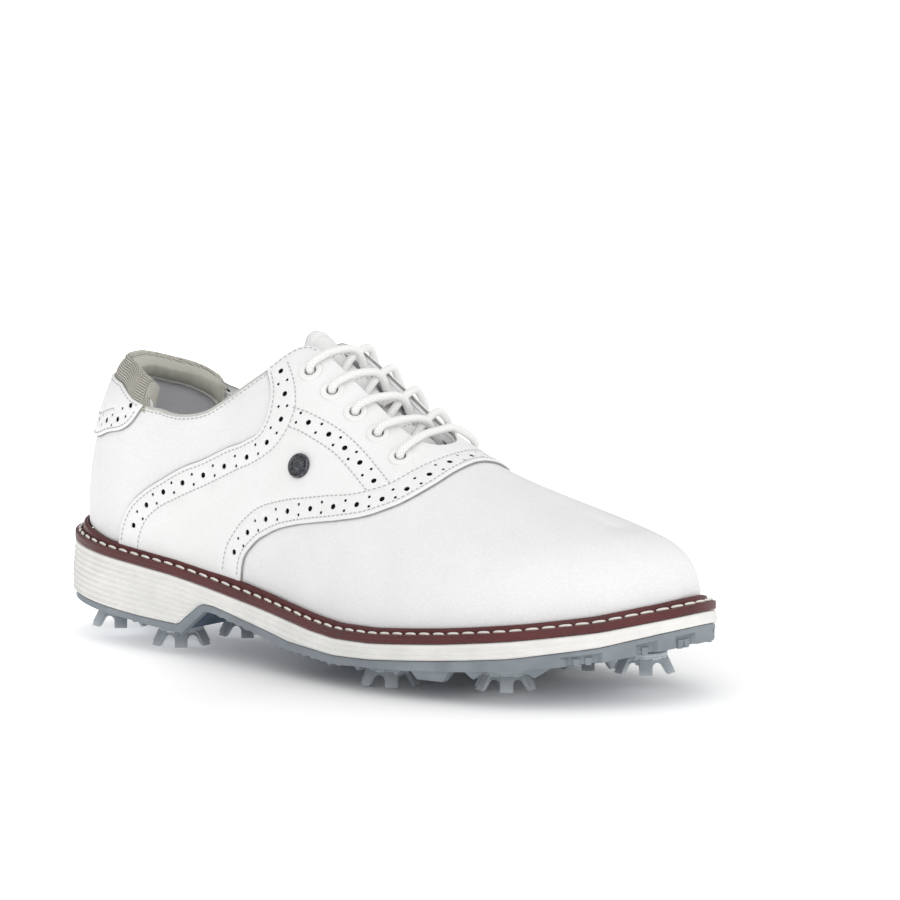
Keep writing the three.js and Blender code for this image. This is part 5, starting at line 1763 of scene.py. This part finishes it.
# ---------------------------------------------------------------- midsole with a ribbed wall
WALL_STEP, WALL_RIB = .37, 2.26
wall_height = welt_z(edge_x) - outsole_top_z(edge_x) - .3
wall_count = int(wall_height.max() / WALL_STEP) + 2
depth = np.minimum(np.arange(wall_count)[:, None] * WALL_STEP, wall_height[None])
share = depth / wall_height[None]
left = wall_height[None] - depth
rib_strength = (.35 + .65 * ease(-147, -128, edge_x)) * (1 - .8 * ease(100, 138, edge_x)) \
    * ease(.9, 1.7, depth) * ease(.15, 1.2, left)
rib = np.cos(TAU * (depth - 1.0) / WALL_RIB)
rib = np.sign(rib) * np.abs(rib)**.8
out = -.15 + 1.0 * ease(0, .7, fdepth := share) * (1 - .3 * ease(95, 140, edge_x)) \
    - 1.1 * ease(.9, 1, fdepth) * ease(0, 1.0, 1.4 - left) + .5 * rib_strength * rib \
    - .45 * (1 - ease(0, .5, depth))
verts = np.vstack([np.c_[edge_xy + edge_out * out[r][:, None], welt_z(edge_x) - depth[r]]
                   for r in range(wall_count)])


def cap_faces(start, up):
    """closes a ring with strips from the lateral to the medial side"""
    faces = []
    for j in range(SOLE_STEPS // 2):
        face = tuple(dict.fromkeys([
            start + j, start + j + 1, start + (SOLE_STEPS - j - 1) % SOLE_STEPS,
            start + (SOLE_STEPS - j) % SOLE_STEPS]))
        faces.append(face if up else face[::-1])
    return faces


piece('midsole', (verts, grid_faces(wall_count, SOLE_STEPS, close_cols=True)
                  + cap_faces(0, False) + cap_faces((wall_count - 1) * SOLE_STEPS, True)),
      ['midsole_foam'], 'midsole_foam', sharp=60)


# ---------------------------------------------------------------- outsole
def across(ring, count):
    """grid between the lateral and medial side of a ring"""
    half = SOLE_STEPS // 2
    lateral = ring[:half + 1]
    medial = np.vstack([ring[0], ring[::-1][:half]])
    u = np.linspace(0, 1, count)[None, :, None]
    return lateral[:, None] * (1 - u) + medial[:, None] * u


# start and end stations of the pockets round the toe wall
POCKETS = [(.4275, .4465), (.4675, .4775), (.4905, .5035), (.5255, .5385), (.553, .572)]
# rim wall: share of the height downwards, mm outside the sole edge
RIM_WALL = [(0, -1.1), (0.0, -.45), (.06, -.32), (.18, -.24), (.3, -.2), (.38, -.2), (.5, -.18),
            (.62, -.2), (.72, -.22), (.8, -.12), (.9, -.12), (.96, -.12), (1.0, -.3),
            (1.0, -1.9)]
edge_length = np.r_[arc_length(edge_xy)]
saw = np.abs(((edge_length / 5.2) % 1) - .5) * 2
teeth = 1.1 * np.clip(saw * 1.7 - .7, 0, 1) \
    * (ease(-50, -44, edge_x) * (1 - ease(26, 34, edge_x)) * .7)
rim_top, rim_low = outsole_top_z(edge_x), outsole_low_z(edge_x)
rim_height = rim_top - rim_low


def pocket(share):
    mask = np.zeros(SOLE_STEPS)
    slant = .0022 * (share - .6)
    for start, end in POCKETS:
        start, end = start + slant, end + slant
        mask = np.maximum(mask, ease(start - .0006, start + .0006, sole_t)
                          * (1 - ease(end - .0006, end + .0006, sole_t)))
    return mask * ease(.3, .38, share)


rings = [np.c_[edge_xy + edge_out * (out - 1.9 * pocket(share) * (out > -1))[:, None],
               rim_top - rim_height * share - teeth * (share > .9)] for share, out in RIM_WALL]
recess_rim = np.c_[edge_xy - edge_out * 4.3, rim_low + 1.1]
rings += [np.c_[edge_xy - edge_out * 3.2, rim_low - teeth * .3], recess_rim]


def recess(grid):
    """grooves of the underside: chevrons in front, cross bars at the heel"""
    x, y = grid[..., 0], grid[..., 1]
    chevron = np.abs(((x + .55 * np.abs(y)) / 7.0) % 1 - .5) * 2
    bars = np.abs((x * .9 / 6.0) % 1 - .5) * 2
    return -.9 * ease(.55, .8, chevron) * ease(-45, -38, x) * (1 - ease(120, 128, x)) \
        - .8 * ease(.6, .85, bars) * (1 - ease(-84, -76, x))


under = across(recess_rim, 30)
under[:, 1:-1, 2] += recess(under[:, 1:-1])
lid = across(np.c_[edge_xy - edge_out * 1.2, rim_top], 30)
parts = [(np.vstack(rings), grid_faces(len(rings), SOLE_STEPS, close_cols=True))]
parts += [(grid.reshape(-1, 3), grid_faces(*grid.shape[:2])) for grid in (under, lid)]
face_mats = [0] * ((len(rings) - 2) * SOLE_STEPS) + [1] * (SOLE_STEPS + len(parts[1][1])) \
    + [0] * len(parts[2][1])


def lug(x, y, tip_z, root_z, length, width, less_length, less_width, angle, bevel=.35):
    """block of length by width at the root, smaller by less_length and less_width at the tip"""
    levels = []
    for z, shrink, chamfer in ((root_z, 0, 0), (tip_z + bevel, 1, 0), (tip_z, 1, bevel)):
        half_x = max(length / 2 - shrink * less_length / 2 - chamfer, .08)
        half_y = max(width / 2 - shrink * less_width / 2 - chamfer, .08)
        section = box_section(half_x, half_y, min(.5, half_x * .8, half_y * .8), 3)
        levels.append(rotated(np.c_[section, np.full(len(section), z)], angle) + [x, y, 0])
    return np.vstack(levels), loft_faces(3, len(levels[0]), flip_caps=True)


def clear_of_cleats(x, y, radius):
    return all((x - cleat[0])**2 + (y - cleat[1])**2 > radius * radius for cleat in CLEATS)


def edge_frame(station):
    """outline point, outward direction and the angle along the edge"""
    spot, out = at(OUTLINE, np.array([station]))[0], at(OUTWARD, np.array([station]))[0]
    return spot, out, math.atan2(out[1], out[0]) + math.pi / 2


lugs = []
# edge lugs on both sides: station, length, depth, share of the length lost at the tip
for lateral, length, drop, taper in [
        (.3479, 16.5, 3.7, .52), (.375, 10.5, 2.9, 1.12), (.4105, 14, 3.1, 1.12),
        (.325, 8, 2.3, 1.12), (.296, 7, 1.9, 1.12), (.272, 6, 1.8, 1.12), (.25, 6, 1.7, 1.12)]:
    for station in (lateral, float(medial_station(np.array([lateral]))[0])):
        spot, out, angle = edge_frame(station)
        x, y = spot - out * 4.2
        if not clear_of_cleats(x, y, 15.5):
            x, y = spot - out * 3.0
        if clear_of_cleats(x, y, 14.2):
            z = outsole_low_z(x)
            lugs.append(lug(x, y, z - drop, z + 2.2, length * 1.25, 6.4, length * taper, 1.6,
                            angle))
# inner tread field
for x in np.arange(-36, 132, 12.5):
    low_y = np.interp(x, OUTLINE[:360, 0], OUTLINE[:360, 1])
    high_y = -np.interp(-x, -OUTLINE[360:, 0], -OUTLINE[360:, 1])
    for row_y in (-24, -12, 0, 12, 24):
        y = row_y + (4 if x > 60 else 0) + (3 if int(round(x / 12.5)) % 2 else -3)
        if low_y + 9 < y < high_y - 9 and clear_of_cleats(x, y, 17.5):
            z = outsole_low_z(x)
            lugs.append(lug(x, y, z - 1.5, z + 2.4, 6.5, 5.0, 3.2, 2.0, .5 if y > 2 else -.5))
# heel lugs
for x, y in [(-112, -30), (-112, 28), (-100, 0), (-135, 8), (-128, 24), (-98, -34), (-74, -2),
             (-104, 30), (-140, -8), (-72, -34), (-70, 33)]:
    if clear_of_cleats(x, y, 15):
        z = outsole_low_z(x)
        lugs.append(lug(x, y, z - 1.9, z + 2.2, 6.5, 5.0, 4.6, 2.2, .4 if y > 0 else -.4))
# bosses that carry the receptacles
for x, y, z in CLEATS:
    low = z + 8.45
    high = max(float(outsole_low_z(x)) + 2.4, low + 1.2)
    boss_verts, boss_faces = lathe(rounded(
        [(0, low, 0), (9.6, low, .4), (10.6, low + .5, .3), (12.4, high, 0),
         (0, high + .4, 0)], .2, 3, closed=False), 48, closed=False)
    lugs.append((boss_verts + [x, y, 0], boss_faces))
# small blocks standing in the toe pockets
for start, end in POCKETS:
    for share in ((.32, .68) if end - start > .012 else (.5,)):
        spot, out, angle = edge_frame(start + (end - start) * share)
        x, y = spot - out * 2.6
        z = outsole_low_z(x)
        height = outsole_top_z(x) - z
        lugs.append(lug(x, y, z - .2, z + height * .5, 3.0, 2.5, .5, .3, angle, bevel=.2))
face_mats += [0] * sum(len(faces) for _, faces in lugs)
piece('outsole', join_parts(parts + lugs), ['outsole_rubber', 'outsole_recess'],
      'outsole_rubber', sharp=35, face_mats=face_mats)


# ---------------------------------------------------------------- layers under the foot
def foot_layer(name, out, low, high, material, slot, cup=0.0):
    """plate between two heights above the welt line; cup raises its sides"""
    u = np.linspace(0, 1, 28)
    rise = cup * np.maximum(0, 1 - np.minimum(u, 1 - u)[None] * 2 * 3)**2
    grids = []
    for z in (high, low):
        grid = across(np.c_[edge_xy + edge_out * out, np.zeros(SOLE_STEPS)], 28)
        grid[..., 2] = welt_z(grid[..., 0]) + z + rise
        grids.append(grid)
    piece(name, shell_grid(*grids), [material], slot, sharp=50)


foot_layer('footbed', -13.2, 4.55, 8.4, 'footbed_textile', 'lining_textile', cup=.9)
foot_layer('insole_board', -12.2, 2.2, 4.2, 'fibre_board', 'insole_board')
foot_layer('bottom_filler', -6.4, .4, 1.75, 'soft_foam', 'foam')
shank_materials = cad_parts['shank'].data.materials
shank_materials.clear()
shank_materials.append(MATERIALS['shank_steel'])

# ---------------------------------------------------------------- soft spikes
LEGS = 6
FIRST_LEG = 12                # degrees
# leg centre line: radius, z, thickness, width
LEG = table((6.2, 6.4, 2.6, 5.6), (7.6, 5.6, 2.4, 5.5), (8.6, 4.5, 2.0, 5.3),
            (9.5, 3.2, 1.75, 5.15), (10.4, 1.7, 1.6, 5.1), (11.35, .25, 1.5, 5.1),
            (11.5, 0, 1.2, 4.8))


def cleat_leg(angle):
    travel = unit(np.gradient(LEG[:, :2], axis=0))
    normal = np.c_[-travel[:, 1], travel[:, 0]]
    normal[-2:] = (1, 0)
    levels = []
    for (radius, z, thick, width), n in zip(LEG, normal):
        section = box_section(width / 2, thick / 2, .28, 3)
        levels.append(rotated(np.c_[radius + n[0] * section[:, 1], section[:, 0],
                                    np.maximum(z + n[1] * section[:, 1], 0.0)], angle))
    return np.vstack(levels), loft_faces(len(levels), len(levels[0]), flip_caps=True)


def cleat_web(start_degrees):
    """arched web to the next leg"""
    turn = np.linspace(math.radians(start_degrees + 11), math.radians(start_degrees + 49), 15)
    low = 4.3 - 2.6 * np.abs(np.linspace(-1, 1, 15))**2.6
    verts = []
    for angle, z in zip(turn, low):
        top_r, low_r = (8.3 + (5.2 - height) * .62 for height in (5.3, z))
        for radius, height in [(top_r - 1.1, 5.3), (top_r + .3, 5.3), (low_r + .35, z + .15),
                               (low_r + .1, z), (low_r - .6, z), (low_r - .85, z + .2)]:
            verts.append((radius * math.cos(angle), radius * math.sin(angle), height))
    return np.array(verts), loft_faces(15, 6, flip_caps=True)


cleat_shapes = [lathe(rounded(
    [(0, 4.7, 0), (3.1, 4.7, .1), (3.3, 4.2, .2), (3.9, 4.2, .2), (4.1, 4.7, .1),
     (8.2, 4.9, .5), (9.0, 5.8, .4), (9.05, 6.4, .15), (8.8, 6.55, .1), (9.05, 6.7, .15),
     (9.05, 7.4, .25), (8.8, 8.0, .15), (4.2, 8.0, 0), (4.2, 12.8, .2), (0, 12.8, 0)],
    .2, 3, closed=False), 64, closed=False)]
for k in range(LEGS):
    degrees = FIRST_LEG + 60 * k
    cleat_shapes += [cleat_leg(math.radians(degrees)), cleat_web(degrees)]
for k in range(3):            # locking lugs of the stud, and three low studs under the disc
    lock_verts, lock_faces = lug(3.2, 0, 11.2, 12.7, 5.4, 3.6, .3, .3, 0, bevel=.1)
    cleat_shapes.append((rotated(lock_verts, math.radians(120 * k)), lock_faces))
    angle = math.radians(60 + 120 * k)
    dot_verts, dot_faces = lathe([(0, 4.66), (.75, 4.66), (.75, 4.9), (0, 4.9)], 16,
                                 closed=False)
    cleat_shapes.append((dot_verts + [6.0 * math.cos(angle), 6.0 * math.sin(angle), -.1],
                         dot_faces))
cleat_verts, cleat_faces = join_parts(cleat_shapes)
body_faces = len(cleat_shapes[0][1])
cleat_mats = [0] * body_faces + [1] * (len(cleat_faces) - body_faces)
cup_verts, cup_faces = lathe(rounded(
    [(4.9, 0, .1), (8, 0, .2), (8, 3.9, .1), (9.3, 3.9, .2), (9.3, 6.3, .2), (0, 6.3, 0),
     (0, 5.1, 0), (7, 5.1, .2), (7, 1.7, .2), (4.9, 1.7, .2)], .1, 3), 48)
for i, (x, y, z) in enumerate(CLEATS, 1):
    name = 'cleat_%d' % i
    piece(name, (cleat_verts + (x, y, z), cleat_faces), ['cleat_plastic', 'cleat_tip'],
          'cleat_plastic', body=name, face_mats=cleat_mats)
    piece('cleat_receptacle_%d' % i, (cup_verts + [x, y, z + 8.3], cup_faces),
          ['receptacle_plastic'], 'receptacle_plastic')

# ---------------------------------------------------------------- floor (metres from here on)
g = material_graph('floor_painted_glow')
g.feed('Base Color', g.ramp(g.noise(g.coords(), 3, 3), .95, .97))
g.set(Roughness=.9, Specular_IOR_Level=.05, Emission_Color=(1, 1, 1, 1))
position = g.node('NewGeometry').outputs['Position']
length = g.node('VectorMath', operation='LENGTH')
g.link(position, length.inputs[0])
distance = length.outputs['Value']
split = g.node('SeparateXYZ')
g.link(position, split.inputs[0])
# glow that is painted light: far from the shoe it makes the floor read white, close round the shoe
# and towards the heel side it lifts the cast shadow
far = g.math('MULTIPLY', g.math('SUBTRACT', g.math('MINIMUM', distance, 3.0), .22), .2)
near = g.math('MAXIMUM', g.math('SUBTRACT', distance, .06), 0.0)
near = g.math('MULTIPLY', g.math('MINIMUM', near, .14), 2.2)
rear = g.math('MAXIMUM', g.math('MULTIPLY', split.outputs['X'], -2.2), 0.0)
rear = g.math('MINIMUM', rear, .25)
g.feed('Emission Strength', g.math(
    'ADD', g.math('ADD', g.math('MAXIMUM', far, 0.0), rear), g.math('ADD', near, .018)))
mesh = bpy.data.meshes.new('floor')
mesh.from_pydata([(x, y, -.0004) for x, y in ((-40, -40), (40, -40), (40, 40), (-40, 40))],
                 [], [(0, 1, 2, 3)])
mesh.materials.append(MATERIALS['floor_painted_glow'])
floor = bpy.data.objects.new('floor', mesh)
scene = bpy.context.scene
scene.collection.objects.link(floor)

# ---------------------------------------------------------------- world: brighter towards +x
world = bpy.data.worlds.new('studio')
scene.world = world
world.use_nodes = True
g = Graph(world.node_tree, 'Background')
g.set(Color=(1, 1, 1, 1))
split = g.node('SeparateXYZ')
g.link(g.node('TexCoord').outputs['Generated'], split.inputs[0])
g.feed('Strength', g.math('ADD', g.math('MULTIPLY', split.outputs['X'], .28), .755))


# ---------------------------------------------------------------- lights
def area_light(name, location, size, power, size_y=None):
    """area light aimed at the middle of the shoe"""
    light = bpy.data.lights.new(name, 'AREA')
    light.energy = power
    light.size = size
    if size_y:
        light.shape = 'RECTANGLE'
        light.size_y = size_y
    obj = bpy.data.objects.new(name, light)
    obj.location = location
    aim = Vector((0, 0, .05)) - Vector(location)
    obj.rotation_euler = aim.to_track_quat('-Z', 'Y').to_euler()
    scene.collection.objects.link(obj)


area_light('key', (.95, -1.05, 1.05), size=1.3, power=4.45, size_y=1.3)
area_light('top', (.25, 0, 1.9), size=1.8, power=3.0, size_y=1.2)
area_light('fill', (-1.4, -.9, .7), size=1.2, power=.35)

# ---------------------------------------------------------------- camera
view_back = np.array([.63653, -.75859, .13917])
view_right = np.array([.76604, .64279, 0.0])
view_up = np.array([-.08946, .10661, .99027])
eye = to_metres([0, 0, 50]) + view_back * 2.2 + view_right * .02905 + view_up * .03415
camera = bpy.data.cameras.new('camera')
camera.sensor_width = 36
camera.lens = 223.4
camera.clip_start = .05
camera.clip_end = 60
obj = bpy.data.objects.new('camera', camera)
obj.matrix_world = Matrix([*zip(view_right, view_up, view_back, eye), (0, 0, 0, 1)])
scene.collection.objects.link(obj)
scene.camera = obj
scene.view_settings.view_transform = 'Standard'
